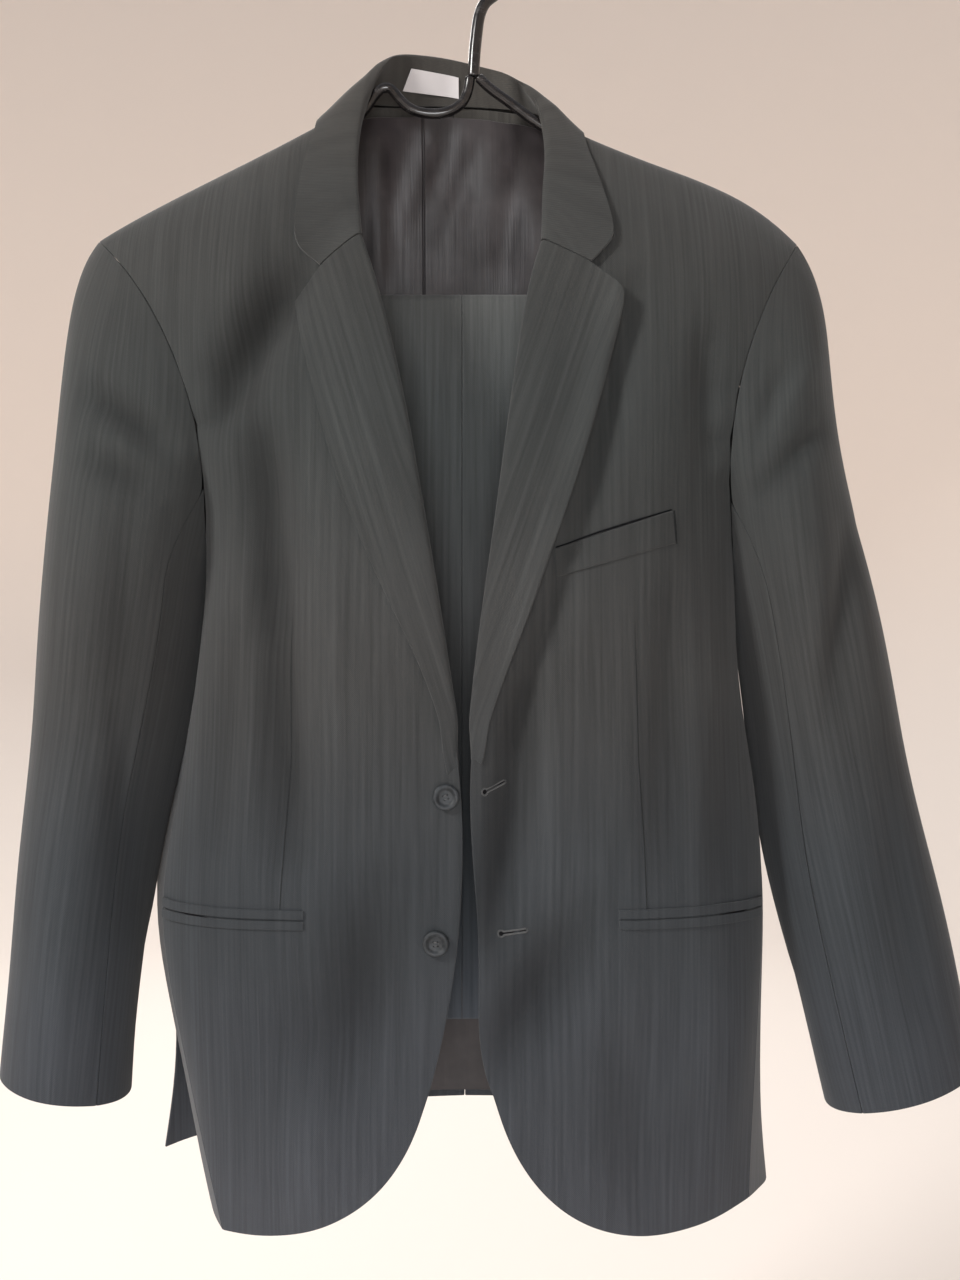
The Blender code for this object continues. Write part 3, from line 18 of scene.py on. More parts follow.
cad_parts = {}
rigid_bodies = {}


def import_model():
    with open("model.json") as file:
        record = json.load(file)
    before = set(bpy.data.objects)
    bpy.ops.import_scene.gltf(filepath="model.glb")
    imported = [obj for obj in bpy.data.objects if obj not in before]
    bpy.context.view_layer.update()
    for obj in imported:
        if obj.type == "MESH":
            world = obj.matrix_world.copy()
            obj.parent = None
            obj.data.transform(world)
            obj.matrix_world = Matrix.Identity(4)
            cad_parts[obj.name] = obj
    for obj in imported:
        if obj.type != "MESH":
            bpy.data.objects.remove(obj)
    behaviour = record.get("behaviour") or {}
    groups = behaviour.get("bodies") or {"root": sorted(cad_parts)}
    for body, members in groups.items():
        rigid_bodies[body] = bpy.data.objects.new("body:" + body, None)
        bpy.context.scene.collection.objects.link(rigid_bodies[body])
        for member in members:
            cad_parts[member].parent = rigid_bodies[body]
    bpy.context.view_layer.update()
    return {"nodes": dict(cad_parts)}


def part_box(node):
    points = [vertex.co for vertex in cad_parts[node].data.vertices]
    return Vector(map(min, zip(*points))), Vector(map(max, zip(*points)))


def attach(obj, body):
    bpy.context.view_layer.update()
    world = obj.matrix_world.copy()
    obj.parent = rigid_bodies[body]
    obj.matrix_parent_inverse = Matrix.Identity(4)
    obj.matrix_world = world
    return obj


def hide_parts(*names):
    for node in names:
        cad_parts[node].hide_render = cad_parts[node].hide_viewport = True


# ---------------------------------------------------------------- sizes and places

SIDES = {"right": -1, "left": 1}

# The skins: corners this close are one, triangles are paired up to this bend and skew (in radians), and
# edges sharper than this are rims.
WELD = 2e-6
PAIR_BEND = 1.2
PAIR_SKEW = 1.4
RIM_ANGLE = radians(58)

# The photograph's camera: level, its focal length in pixels of a 1280-pixel-high picture.
CAMERA_PLACE = (0.0, -0.949, -0.5066)
FOCAL_PIXELS = 1300
PICTURE_HEIGHT = 1280
SENSOR = 36.0

STAGE_CENTRE = (0.0, 0.0, -1.30)
STAGE_FLOOR = 2.6
STAGE_BEND = 1.3
STAGE_HEIGHT = 3.2
STAGE_SIDES = 96

# Cloth pieces: how finely the solid is divided, how round its edges are, how its stripes lie,
# and the size it was cut to (width, length, and the share of that rectangle that the cut keeps).
Cloth = namedtuple("Cloth", "node level edge lie width length share")
CLOTHS = (
    Cloth("front", 3, 0.0007, "body", 0.30, 0.80, 0.63),
    Cloth("side", 2, 0.0007, "side", 0.12, 0.49, 0.80),
    Cloth("back", 2, 0.0007, "body", 0.27, 0.81, 0.78),
    Cloth("sleeve_top", 3, 0.0007, "sleeve", 0.23, 0.62, 0.80),
    Cloth("sleeve_under", 2, 0.0007, "sleeve", 0.16, 0.55, 0.78),
    Cloth("lapel", 3, 0.0006, "lapel", 0.085, 0.40, 0.55),
    Cloth("trouser_front", 2, 0.0003, "straight", 0.24, 1.05, 0.82),
    Cloth("trouser_back", 2, 0.0003, "straight", 0.27, 1.05, 0.80),
)
SINGLE_CLOTHS = (
    Cloth("collar", 2, 0.0006, "collar", 0.48, 0.10, 0.75),
    Cloth("waistband", 2, 0.0003, "straight", 0.50, 0.04, 0.95),
)

# What the other sheets were cut to: width and length.
WELT_FLAT = (0.088, 0.023)
JET_FLAT = (0.095, 0.010)

# Creases: soft troughs (ridges where depth is negative) between two places seen from the front, by the group
# of pieces and the half of it, ahead or behind, that they lie on. Hidden sides get ones like those seen.
# A crease's depth also paints shade into the wool in its trough, and light on a ridge.
Crease = namedtuple("Crease", "x z end_x end_z width depth")
CREASE_STRENGTH = 1.55
CREASES = {
    ("body", "ahead"): (
        Crease(-0.128, -0.262, -0.184, -0.356, 0.017, 0.0105),
        Crease(-0.152, -0.310, -0.146, -0.420, 0.022, 0.0030),
        Crease(-0.150, -0.378, -0.138, -0.490, 0.018, 0.0095),
        Crease(-0.138, -0.470, -0.126, -0.640, 0.018, 0.0085),
        Crease(-0.112, -0.400, -0.098, -0.560, 0.022, -0.0022),
        Crease(-0.170, -0.500, -0.176, -0.640, 0.014, 0.0040),
        Crease(-0.064, -0.670, -0.083, -0.790, 0.024, 0.0072),
        Crease(-0.108, -0.725, -0.124, -0.790, 0.028, 0.0034),
        Crease(-0.054, -0.440, -0.050, -0.520, 0.020, -0.0016),
        Crease(-0.150, -0.790, -0.158, -0.880, 0.022, 0.0016),
        Crease(-0.105, -0.800, -0.112, -0.900, 0.018, -0.0018),
        Crease(0.108, -0.262, 0.064, -0.445, 0.011, 0.0045),
        Crease(0.060, -0.450, 0.022, -0.570, 0.010, 0.0040),
        Crease(0.030, -0.545, 0.010, -0.700, 0.014, 0.0075),
        Crease(0.070, -0.690, 0.014, -0.790, 0.020, 0.0072),
        Crease(0.052, -0.570, 0.044, -0.660, 0.013, -0.0022),
        Crease(0.130, -0.490, 0.120, -0.650, 0.018, 0.0045),
        Crease(0.154, -0.310, 0.166, -0.400, 0.014, 0.0036),
        Crease(0.095, -0.780, 0.110, -0.890, 0.020, 0.0030),
        Crease(0.165, -0.560, 0.160, -0.680, 0.014, 0.0030),
    ),
    ("body", "behind"): (
        Crease(-0.150, -0.300, -0.060, -0.380, 0.020, 0.0050),
        Crease(0.140, -0.310, 0.060, -0.400, 0.018, 0.0045),
        Crease(-0.120, -0.420, -0.130, -0.640, 0.020, 0.0050),
        Crease(0.105, -0.430, 0.120, -0.620, 0.019, 0.0055),
        Crease(-0.050, -0.480, -0.070, -0.720, 0.024, -0.0026),
        Crease(0.060, -0.600, 0.085, -0.840, 0.022, 0.0045),
        Crease(-0.110, -0.690, -0.095, -0.860, 0.020, 0.0040),
    ),
    ("sleeve_right", "ahead"): (
        Crease(-0.262, -0.340, -0.214, -0.372, 0.011, 0.0062),
        Crease(-0.262, -0.385, -0.222, -0.402, 0.011, 0.0045),
        Crease(-0.238, -0.420, -0.244, -0.560, 0.014, 0.0030),
        Crease(-0.244, -0.560, -0.242, -0.700, 0.010, 0.0022),
        Crease(-0.276, -0.600, -0.284, -0.790, 0.020, -0.0036),
    ),
    ("sleeve_right", "behind"): (
        Crease(-0.280, -0.360, -0.230, -0.400, 0.014, 0.0040),
        Crease(-0.262, -0.430, -0.270, -0.620, 0.017, 0.0040),
        Crease(-0.290, -0.570, -0.262, -0.620, 0.014, 0.0030),
        Crease(-0.206, -0.500, -0.238, -0.700, 0.012, -0.0035),
    ),
    ("sleeve_left", "ahead"): (
        Crease(0.228, -0.318, 0.192, -0.370, 0.009, -0.0024),
        Crease(0.232, -0.362, 0.192, -0.404, 0.009, 0.0050),
        Crease(0.206, -0.324, 0.186, -0.372, 0.008, 0.0030),
        Crease(0.254, -0.430, 0.236, -0.560, 0.011, 0.0036),
        Crease(0.274, -0.580, 0.288, -0.750, 0.014, 0.0026),
        Crease(0.232, -0.600, 0.254, -0.740, 0.014, -0.0016),
    ),
    ("sleeve_left", "behind"): (
        Crease(0.258, -0.360, 0.215, -0.410, 0.014, 0.0040),
        Crease(0.240, -0.440, 0.256, -0.640, 0.016, 0.0040),
        Crease(0.282, -0.610, 0.252, -0.660, 0.014, 0.0028),
        Crease(0.192, -0.500, 0.222, -0.720, 0.012, -0.0042),
    ),
    ("trousers", "ahead"): (
        # These troughs also darken the trousers with painted shade, most along the right lapel's roll and at
        # the top right.
        Crease(-0.084, -0.290, -0.014, -0.600, 0.008, 0.0045),
        Crease(-0.050, -0.300, -0.030, -0.560, 0.010, 0.0014),
        Crease(0.052, -0.285, 0.024, -0.500, 0.020, 0.0040),
        Crease(-0.110, -0.450, -0.100, -0.740, 0.016, 0.0020),
        Crease(0.080, -0.450, 0.075, -0.740, 0.016, 0.0020),
    ),
}
# The same, for single pieces on top of their group's.
OWN_CREASES = {
    "lapel_left": (
        Crease(0.098, -0.240, 0.094, -0.300, 0.011, -0.0026),
        Crease(0.094, -0.280, 0.058, -0.440, 0.010, -0.0034),
        Crease(0.050, -0.430, 0.006, -0.580, 0.009, -0.0030),
    ),
    # This crease sinks the collar's left half and darkens it with painted shade.
    "collar": (Crease(0.060, -0.105, 0.088, -0.170, 0.024, 0.0022),),
    "lapel_right": (
        Crease(-0.146, -0.240, -0.140, -0.300, 0.011, -0.0012),
    ),
    "lining_back": (
        Crease(-0.030, -0.105, -0.062, -0.190, 0.008, 0.0020),
        Crease(0.004, -0.112, -0.030, -0.205, 0.008, 0.0016),
        Crease(0.030, -0.120, 0.018, -0.225, 0.009, 0.0020),
        Crease(-0.075, -0.120, -0.080, -0.230, 0.007, 0.0018),
        Crease(-0.100, -0.250, -0.090, -0.500, 0.012, 0.0020),
        Crease(0.070, -0.260, 0.080, -0.520, 0.012, 0.0020),
    ),
}
# How deep the pieces that lie on the fronts are let into them.
LET_IN = {"breast_pocket_welt": 0.0012, "pocket": 0.0016}
# Where the lapels roll back into the fronts: the height this starts at, its run, and how far aside and in.
ROLL_START = -0.556
ROLL_RUN = 0.030
ROLL_ASIDE = 0.0032
ROLL_IN = 0.0032

# The distances from stripe to stripe and from rib to rib of the twill.
STRIPE_PITCH = 0.0064
TWILL_PITCH = 0.0013


# ---------------------------------------------------------------- frame

for leftover in list(bpy.data.objects):
    bpy.data.objects.remove(leftover)
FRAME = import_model()
NODES = FRAME["nodes"]


# ---------------------------------------------------------------- materials


class Shader:
    """A Principled material and short ways to add nodes to it."""

    def __init__(self, name, colour, roughness, **sockets):
        self.material = bpy.data.materials.new(name)
        self.material.use_nodes = True
        self.tree = self.material.node_tree
        self.principled = self.tree.nodes["Principled BSDF"]
        self.principled.inputs["Base Color"].default_value = (*colour, 1)
        self.principled.inputs["Roughness"].default_value = roughness
        for socket, value in sockets.items():
            self.principled.inputs[socket.replace("_", " ")].default_value = value

    def node(self, kind, inputs=(), **settings):
        made = self.tree.nodes.new("ShaderNode" + kind)
        for setting, value in settings.items():
            setattr(made, setting, value)
        for socket, value in dict(inputs).items():
            if isinstance(value, bpy.types.NodeSocket):
                self.tree.links.new(value, made.inputs[socket])
            else:
                made.inputs[socket].default_value = value
        return made

    def math(self, operation, first, second=0.0):
        return self.node("Math", {0: first, 1: second}, operation=operation).outputs[0]

    def mix(self, factor, first, second, blend="MIX"):
        made = self.node("Mix", data_type="RGBA", blend_type=blend)
        for socket, value in ((0, factor), (6, first), (7, second)):
            if isinstance(value, bpy.types.NodeSocket):
                self.tree.links.new(value, made.inputs[socket])
            else:
                made.inputs[socket].default_value = value if socket == 0 else (*value, 1)
        return made.outputs[2]

    def noise(self, vector, scale, detail=2.0, roughness=0.5):
        inputs = {"Vector": vector, "Scale": scale, "Detail": detail, "Roughness": roughness}
        return self.node("TexNoise", inputs).outputs["Fac"]

    def stretched(self, vector, scale):
        return self.node("VectorMath", {0: vector, 1: scale}, operation="MULTIPLY").outputs[0]

    def ramp(self, factor, stops):
        made = self.node("ValToRGB", {"Fac": factor})
        made.color_ramp.interpolation = "EASE"
        elements = made.color_ramp.elements
        while len(elements) < len(stops):
            elements.new(0.5)
        for element, (place, colour) in zip(elements, stops):
            element.position = place
            element.color = (*colour, 1)
        return made.outputs["Color"]

    def ranged(self, value, low, high, to_low=0.0, to_high=1.0):
        inputs = {"Value": value, "From Min": low, "From Max": high, "To Min": to_low, "To Max": to_high}
        return self.node("MapRange", inputs).outputs["Result"]

    def colour(self, socket):
        self.tree.links.new(socket, self.principled.inputs["Base Color"])

    def roughness(self, socket):
        self.tree.links.new(socket, self.principled.inputs["Roughness"])

    def bump(self, height, distance, strength):
        made = self.node("Bump", {"Height": height, "Distance": distance, "Strength": strength})
        self.tree.links.new(made.outputs["Normal"], self.principled.inputs["Normal"])


# The wool's colour down the suit, between two heights, with painted light in it: warmer light at the
# shoulders, painted shade at the chest and hips, brighter and bluer light towards the hems.
PAINTED_LIGHT_TOP = -0.08
PAINTED_LIGHT_BOTTOM = -0.92
WOOL_AND_PAINTED_LIGHT = (
    (0.00, (0.041, 0.038, 0.034)),
    (0.16, (0.033, 0.034, 0.033)),
    (0.32, (0.029, 0.032, 0.032)),
    (0.52, (0.034, 0.035, 0.035)),
    (0.72, (0.027, 0.031, 0.035)),
    (0.84, (0.032, 0.036, 0.042)),
    (1.00, (0.041, 0.045, 0.053)),
)
# The trousers hang deep between the fronts, in their shade; their copy of the wool is painted this many times
# lighter, as painted light.
TROUSER_PAINTED_LIGHT = 2.35


def suiting(name, lift=1.0):
    """Charcoal worsted with an irregular tonal stripe, woven as a fine twill, with painted light down the
    suit, painted shade in creases and painted light on ridges.
    """
    made = Shader(
        name, (0.052, 0.054, 0.055), 0.88, Specular_IOR_Level=0.2, Sheen_Weight=0.12, Sheen_Roughness=0.5
    )
    place = made.node("TexCoord").outputs["Object"]
    height = made.node("SeparateXYZ", {"Vector": place}).outputs["Z"]
    # Painted light and shade down the suit, over the wool's own colour.
    shade = made.ramp(made.ranged(height, PAINTED_LIGHT_TOP, PAINTED_LIGHT_BOTTOM), WOOL_AND_PAINTED_LIGHT)
    lie = made.node("UVMap", uv_map="lie").outputs["UV"]
    across = made.node("SeparateXYZ", {"Vector": lie}).outputs["X"]
    along = made.node("SeparateXYZ", {"Vector": lie}).outputs["Y"]

    wander = made.noise(made.stretched(lie, (24, 1.6, 1)), 1.0)
    phase = made.math("MULTIPLY", across, 2 * pi / STRIPE_PITCH)
    phase = made.math("ADD", phase, made.math("MULTIPLY", wander, 14.0))
    rib = made.ranged(made.math("SINE", phase), -1, 1)
    present = made.ranged(made.noise(made.stretched(lie, (120, 5, 1)), 1.0), 0.35, 0.65)
    streak = made.noise(made.stretched(lie, (420, 11, 1)), 1.0, detail=3.0, roughness=0.6)
    broad = made.noise(made.stretched(lie, (60, 2.2, 1)), 1.0, detail=1.0)
    stripe = made.math("MULTIPLY", made.math("MULTIPLY", rib, present), 0.22)
    stripe = made.math("ADD", stripe, made.math("MULTIPLY", streak, 1.0))
    stripe = made.math("ADD", stripe, made.math("MULTIPLY", broad, 0.35))
    tone = made.ranged(stripe, 0.45, 1.05, 0.80, 1.22)

    diagonal = made.math("ADD", across, along)
    twill = made.ranged(made.math("SINE", made.math("MULTIPLY", diagonal, 2 * pi / TWILL_PITCH)), -1, 1)
    fibre = made.noise(made.stretched(lie, (1500, 900, 1)), 1.0, detail=1.0)
    fleck = made.ranged(made.math("ADD", made.math("MULTIPLY", twill, 0.35), fibre), 0.4, 1.1, 0.88, 1.12)
    patch = made.ranged(made.noise(place, 9.0, detail=3.0), 0.3, 0.7, 0.93, 1.07)
    # Painted shade in the troughs of creases and painted light on their ridges.
    crease_shade = made.node("Attribute", attribute_name="crease_shade").outputs["Fac"]
    painted_crease_shade = made.ranged(crease_shade, -1, 1, 1.45, 0.55)
    # A lift above 1 is painted light: it makes a copy of the wool lighter.
    value = made.math("MULTIPLY", made.math("MULTIPLY", tone, fleck), made.math("MULTIPLY", patch, lift))
    value = made.math("MULTIPLY", value, painted_crease_shade)
    grey = made.node("CombineColor", {"Red": value, "Green": value, "Blue": value}).outputs["Color"]
    made.colour(made.mix(1.0, shade, grey, "MULTIPLY"))
    made.roughness(made.ranged(stripe, 0.5, 1.2, 0.92, 0.80))
    ribs = made.math("MULTIPLY", made.math("ADD", twill, fibre), 0.35)
    made.bump(made.math("ADD", made.math("MULTIPLY", stripe, 0.8), ribs), 0.00022, 0.6)
    return made.material


# Where the seam runs down the satin, and the half widths at which its dark line fades and is full.
SATIN_SEAM = -0.0435
SEAM_EDGE = 0.0012
SEAM_CORE = 0.0003


def satin():
    """Brown-violet acetate satin: softly shining, creased, with fine warp lines and a seam down it."""
    made = Shader("satin", (0.05, 0.04, 0.045), 0.45, Specular_IOR_Level=0.38, Sheen_Weight=0.1)
    lie = made.node("UVMap", uv_map="lie").outputs["UV"]
    across = made.node("SeparateXYZ", {"Vector": lie}).outputs["X"]
    warp = made.noise(made.stretched(lie, (900, 12, 1)), 1.0, detail=2.0)
    place = made.node("TexCoord").outputs["Object"]
    cloud = made.noise(place, 26.0, detail=3.0, roughness=0.6)
    cloth = made.ramp(cloud, ((0.3, (0.015, 0.012, 0.013)), (0.7, (0.033, 0.027, 0.029))))
    from_seam = made.math("ABSOLUTE", made.math("SUBTRACT", across, SATIN_SEAM))
    on_seam = made.ranged(from_seam, SEAM_EDGE, SEAM_CORE)
    made.colour(made.mix(on_seam, cloth, (0.012, 0.009, 0.010)))
    made.roughness(made.ranged(warp, 0.3, 0.7, 0.40, 0.52))
    crumple = made.noise(made.stretched(place, (34, 34, 20)), 1.0, detail=2.0, roughness=0.5)
    height = made.math("ADD", made.math("MULTIPLY", crumple, 4.0), made.math("MULTIPLY", warp, 0.4))
    made.bump(made.math("SUBTRACT", height, made.math("MULTIPLY", on_seam, 2.0)), 0.0004, 0.8)
    return made.material


def horn():
    """Dark moulded button: a faint marbling under a satin polish."""
    made = Shader("horn", (0.018, 0.021, 0.024), 0.46, Specular_IOR_Level=0.25)
    place = made.node("TexCoord").outputs["Object"]
    cloud = made.noise(place, 260.0, detail=4.0, roughness=0.6)
    made.colour(made.ramp(cloud, ((0.35, (0.011, 0.013, 0.015)), (0.65, (0.027, 0.031, 0.035)))))
    made.roughness(made.ranged(cloud, 0.3, 0.7, 0.42, 0.54))
    made.bump(made.noise(place, 900.0), 0.00005, 0.3)
    return made.material


def thread():
    """Twisted sewing thread, slightly lighter than the wool."""
    made = Shader("thread", (0.045, 0.048, 0.050), 0.75, Sheen_Weight=0.3)
    place = made.node("TexCoord").outputs["Object"]
    twist = made.noise(place, 2600.0, detail=1.0)
    made.colour(made.ramp(twist, ((0.3, (0.030, 0.032, 0.034)), (0.7, (0.068, 0.071, 0.073)))))
    made.bump(twist, 0.0001, 0.5)
    return made.material


def slit():
    """Painted shadow: the near-black inside of a buttonhole or pocket mouth, where it lies in shade."""
    made = Shader("slit", (0.004, 0.004, 0.005), 0.95, Specular_IOR_Level=0.1)
    place = made.node("TexCoord").outputs["Object"]
    depth = made.noise(place, 900.0)
    made.colour(made.ramp(depth, ((0.3, (0.003, 0.003, 0.004)), (0.7, (0.008, 0.008, 0.009)))))
    return made.material


def seam():
    """The shadowed fold of a sewn seam or a bar tack."""
    made = Shader("seam", (0.014, 0.015, 0.016), 0.9, Specular_IOR_Level=0.15)
    place = made.node("TexCoord").outputs["Object"]
    pucker = made.noise(place, 1200.0)
    made.colour(made.ramp(pucker, ((0.3, (0.010, 0.011, 0.012)), (0.7, (0.022, 0.024, 0.025)))))
    return made.material


# The distances from thread to thread up the label and across it.
LABEL_ROWS = 0.0006
LABEL_WARP = 0.0009


def label_weave():
    """White damask of a blank woven label."""
    made = Shader("label_weave", (0.72, 0.69, 0.70), 0.55, Sheen_Weight=0.2)
    lie = made.node("UVMap", uv_map="lie").outputs["UV"]
    across = made.node("SeparateXYZ", {"Vector": lie}).outputs["X"]
    along = made.node("SeparateXYZ", {"Vector": lie}).outputs["Y"]
    rows = made.math("SINE", made.math("MULTIPLY", along, 2 * pi / LABEL_ROWS))
    warp = made.math("SINE", made.math("MULTIPLY", across, 2 * pi / LABEL_WARP))
    weave = made.ranged(made.math("MULTIPLY", rows, warp), -1, 1)
    made.colour(made.ramp(weave, ((0.0, (0.43, 0.41, 0.41)), (1.0, (0.58, 0.55, 0.55)))))
    made.bump(weave, 0.0001, 0.4)
    return made.material


def hanger_plastic():
    """Glossy black moulded plastic with faint scuffs."""
    made = Shader("hanger_plastic", (0.010, 0.009, 0.009), 0.16, Specular_IOR_Level=0.55)
    place = made.node("TexCoord").outputs["Object"]
    scuff = made.noise(made.stretched(place, (60, 60, 180)), 1.0, detail=4.0, roughness=0.65)
    made.colour(made.ramp(scuff, ((0.4, (0.008, 0.007, 0.007)), (0.75, (0.020, 0.018, 0.018)))))
    made.roughness(made.ranged(scuff, 0.35, 0.75, 0.13, 0.34))
    made.bump(made.noise(place, 500.0), 0.00004, 0.25)
    return made.material


# The heights between which the ground's painted shade changes.
GROUND_TOP = 1.6
GROUND_BOTTOM = -1.3


def backdrop():
    """A warm white ground with painted shade: darker and warmer towards the top, lightest at the bottom."""
    made = Shader("backdrop", (0.78, 0.72, 0.66), 0.95, Specular_IOR_Level=0.1)
    place = made.node("TexCoord").outputs["Object"]
    height = made.node("SeparateXYZ", {"Vector": place}).outputs["Z"]
    stops = ((0.0, (0.88, 0.79, 0.72)), (0.5, (0.88, 0.82, 0.77)), (1.0, (0.92, 0.90, 0.89)))
    made.colour(made.ramp(made.ranged(height, GROUND_TOP, GROUND_BOTTOM), stops))
    return made.material


FINISHES = {
    "wool": suiting("suiting"),
    "trouser_wool_painted_light": suiting("trouser_suiting_painted_light", TROUSER_PAINTED_LIGHT),
    "satin": satin(),
    "horn": horn(),
    "thread": thread(),
    "slit": slit(),
    "seam": seam(),
    "label": label_weave(),
    "plastic": hanger_plastic(),
}


# ---------------------------------------------------------------- helpers


def unit(vectors):
    """Vectors of length 1 along the given ones."""
    return vectors / np.maximum(np.linalg.norm(vectors, axis=-1, keepdims=True), 1e-12)


def smoothly(values):
    """From 0 to 1 with soft ends."""
    values = np.clip(values, 0, 1)
    return values * values * (3 - 2 * values)


def linked(name, data):
    """A new object in the scene, around a mesh, a curve, a lamp or a camera."""
    holder = bpy.data.objects.new(name, data)
    bpy.context.scene.collection.objects.link(holder)
    return holder


def turned(name, profile, sides, merge):
    """An object that turns a profile of radii and heights about Z."""
    mesh = bpy.data.meshes.new(name)
    mesh.from_pydata([(r, 0, z) for r, z in profile], [(i, i + 1) for i in range(len(profile) - 1)], [])
    solid = linked(name, mesh)
    turn = solid.modifiers.new("turn", "SCREW")
    turn.steps = turn.render_steps = sides
    turn.use_merge_vertices = True
    turn.merge_threshold = merge
    return solid, turn


# ---------------------------------------------------------------- skins on the solids


def welded(node):
    """A solid's own faces, its split corners joined and its triangles paired."""
    form = bmesh.new()
    form.from_mesh(NODES[node].data)
    bmesh.ops.remove_doubles(form, verts=form.verts, dist=WELD)
    pairing = {"angle_face_threshold": PAIR_BEND, "angle_shape_threshold": PAIR_SKEW}
    bmesh.ops.join_triangles(form, faces=form.faces, **pairing)
    return form


def skin(node, level, edge):
    """A fine mesh over a solid, with its rims rounded."""
    form = welded(node)
    rims = [side for side in form.edges if side.calc_face_angle(0) > RIM_ANGLE]
    bmesh.ops.bevel(form, geom=rims, offset=edge, segments=2, profile=0.5, affect="EDGES", clamp_overlap=True)
    mesh = bpy.data.meshes.new(node)
    form.to_mesh(mesh)
    form.free()
    rough = linked(node + "_rough", mesh)
    smooth = rough.modifiers.new("smooth", "SUBSURF")
    smooth.levels = smooth.render_levels = level
    graph = bpy.context.evaluated_depsgraph_get()
    fine = bpy.data.meshes.new_from_object(rough.evaluated_get(graph))
    bpy.data.objects.remove(rough)
    fine.shade_smooth()
    return fine


def coordinates(mesh):
    """A mesh's points, one a row."""
    values = np.empty(len(mesh.vertices) * 3)
    mesh.vertices.foreach_get("co", values)
    return values.reshape(-1, 3)


def move_to(mesh, points):
    """Put a mesh's points at these places."""
    mesh.vertices.foreach_set("co", points.ravel())
    mesh.update()


def lay(mesh, across, along):
    """Store where each point lies on the flat cloth, in metres across and along its stripes."""
    layer = mesh.uv_layers.new(name="lie")
    corners = np.empty(len(mesh.loops), int)
    mesh.loops.foreach_get("vertex_index", corners)
    layer.data.foreach_set("uv", np.column_stack([across, along])[corners].ravel())


def piece(name, mesh, finish, replaced=()):
    """A dressed piece that rides on the root, in place of the nodes that it replaces."""
    made = linked(name, mesh)
    mesh.materials.clear()
    mesh.materials.append(FINISHES[finish])
    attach(made, "root")
    if replaced:
        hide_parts(*replaced)
    return made


# How far round the body the cloth has run, at a place seen from the front: it turns away at the sides.
FLAT_HALF = 0.11
TURNING = 5.5
# A side panel bows, so its cloth is this much wider than it looks from the side.
SIDE_BOW = 1.1


def body_lie(points):
    """The lie of the fronts and backs, whose cloth runs on round the sides."""
    beyond = np.clip(np.abs(points[:, 0]) - FLAT_HALF, 0, None)
    return np.sign(points[:, 0]) * (np.abs(points[:, 0]) + TURNING * beyond**2), points[:, 2]


def side_lie(points):
    """The lie of the side panels, seen from the side."""
    return points[:, 1] * SIDE_BOW, points[:, 2]


def straight_lie(points):
    """The lie of cloth that hangs flat."""
    return points[:, 0], points[:, 2]


# The stripes lean with the lapels, and run round the neck and the sleeves at these radii.
LAPEL_SLOPE = {"right": radians(17), "left": radians(-19)}
NECK_RADIUS = 0.085
NECK_MIDDLE = -0.03
# The collar is cut across the stripes, so they are drawn out along it.
COLLAR_CALM = 0.25
SLEEVE_RADIUS = 0.070


def lapel_lie(points, side):
    """The lie of a lapel, whose stripes lean with its roll."""
    slope = LAPEL_SLOPE[side]
    x, z = points[:, 0], points[:, 2]
    return x * cos(slope) + z * sin(slope), z * cos(slope) - x * sin(slope)


def collar_lie(points):
    """The lie of the collar, round the neck."""
    return np.arctan2(points[:, 0], points[:, 1] - NECK_MIDDLE) * NECK_RADIUS * COLLAR_CALM, points[:, 2]


# A sleeve's centre line from the shoulder to the cuff.
SLEEVE_MIDDLE = {
    "right": (
        (-0.240, -0.010, -0.22), (-0.252, -0.010, -0.45), (-0.270, -0.020, -0.61), (-0.284, -0.056, -0.82),
    ),
    "left": (
        (0.222, -0.010, -0.22), (0.228, -0.010, -0.45), (0.252, -0.020, -0.61), (0.288, -0.056, -0.82),
    ),
}


def from_sleeve_middle(points, side):
    """Each point's level way out from its sleeve's centre line."""
    line = np.array(SLEEVE_MIDDLE[side])
    away = points.copy()
    for axis in (0, 1):
        away[:, axis] -= np.polyval(np.polyfit(line[:, 2], line[:, axis], 3), points[:, 2])
    away[:, 2] = 0
    return away


def sleeve_lie(points, side):
    """The lie of a sleeve, round its centre line."""
    away = from_sleeve_middle(points, side)
    return np.arctan2(-away[:, 0] * SIDES[side], -away[:, 1]) * SLEEVE_RADIUS, points[:, 2]


def lie_of(kind, points, side):
    """How far each point lies across and along the stripes."""
    if kind == "sleeve":
        return sleeve_lie(points, side)
    if kind == "lapel":
        return lapel_lie(points, side)
    lies = {"body": body_lie, "side": side_lie, "straight": straight_lie, "collar": collar_lie}
    return lies[kind](points)


# Half the body's width and depth, as an ellipse that gives the ways out of it.
BODY_HALF_WIDTH = 0.22
BODY_HALF_DEPTH = 0.09


def outward(group, points, side):
    """A smooth field of directions out of the cloth, by which both faces of a wall move together."""
    if group == "trousers":
        return np.tile([0.0, -1.0, 0.0], (len(points), 1))
    if group.startswith("sleeve"):
        return unit(from_sleeve_middle(points, side))
    x, y = points[:, 0] / BODY_HALF_WIDTH**2, points[:, 1] / BODY_HALF_DEPTH**2
    return unit(np.column_stack([x, y, 0 * x]))


# A crease fades towards its ends: the part of a sine's arch that it takes, and how blunt the arch is.
FADE_START = 0.12
FADE_SPAN = 0.76
FADE_BLUNT = 0.8


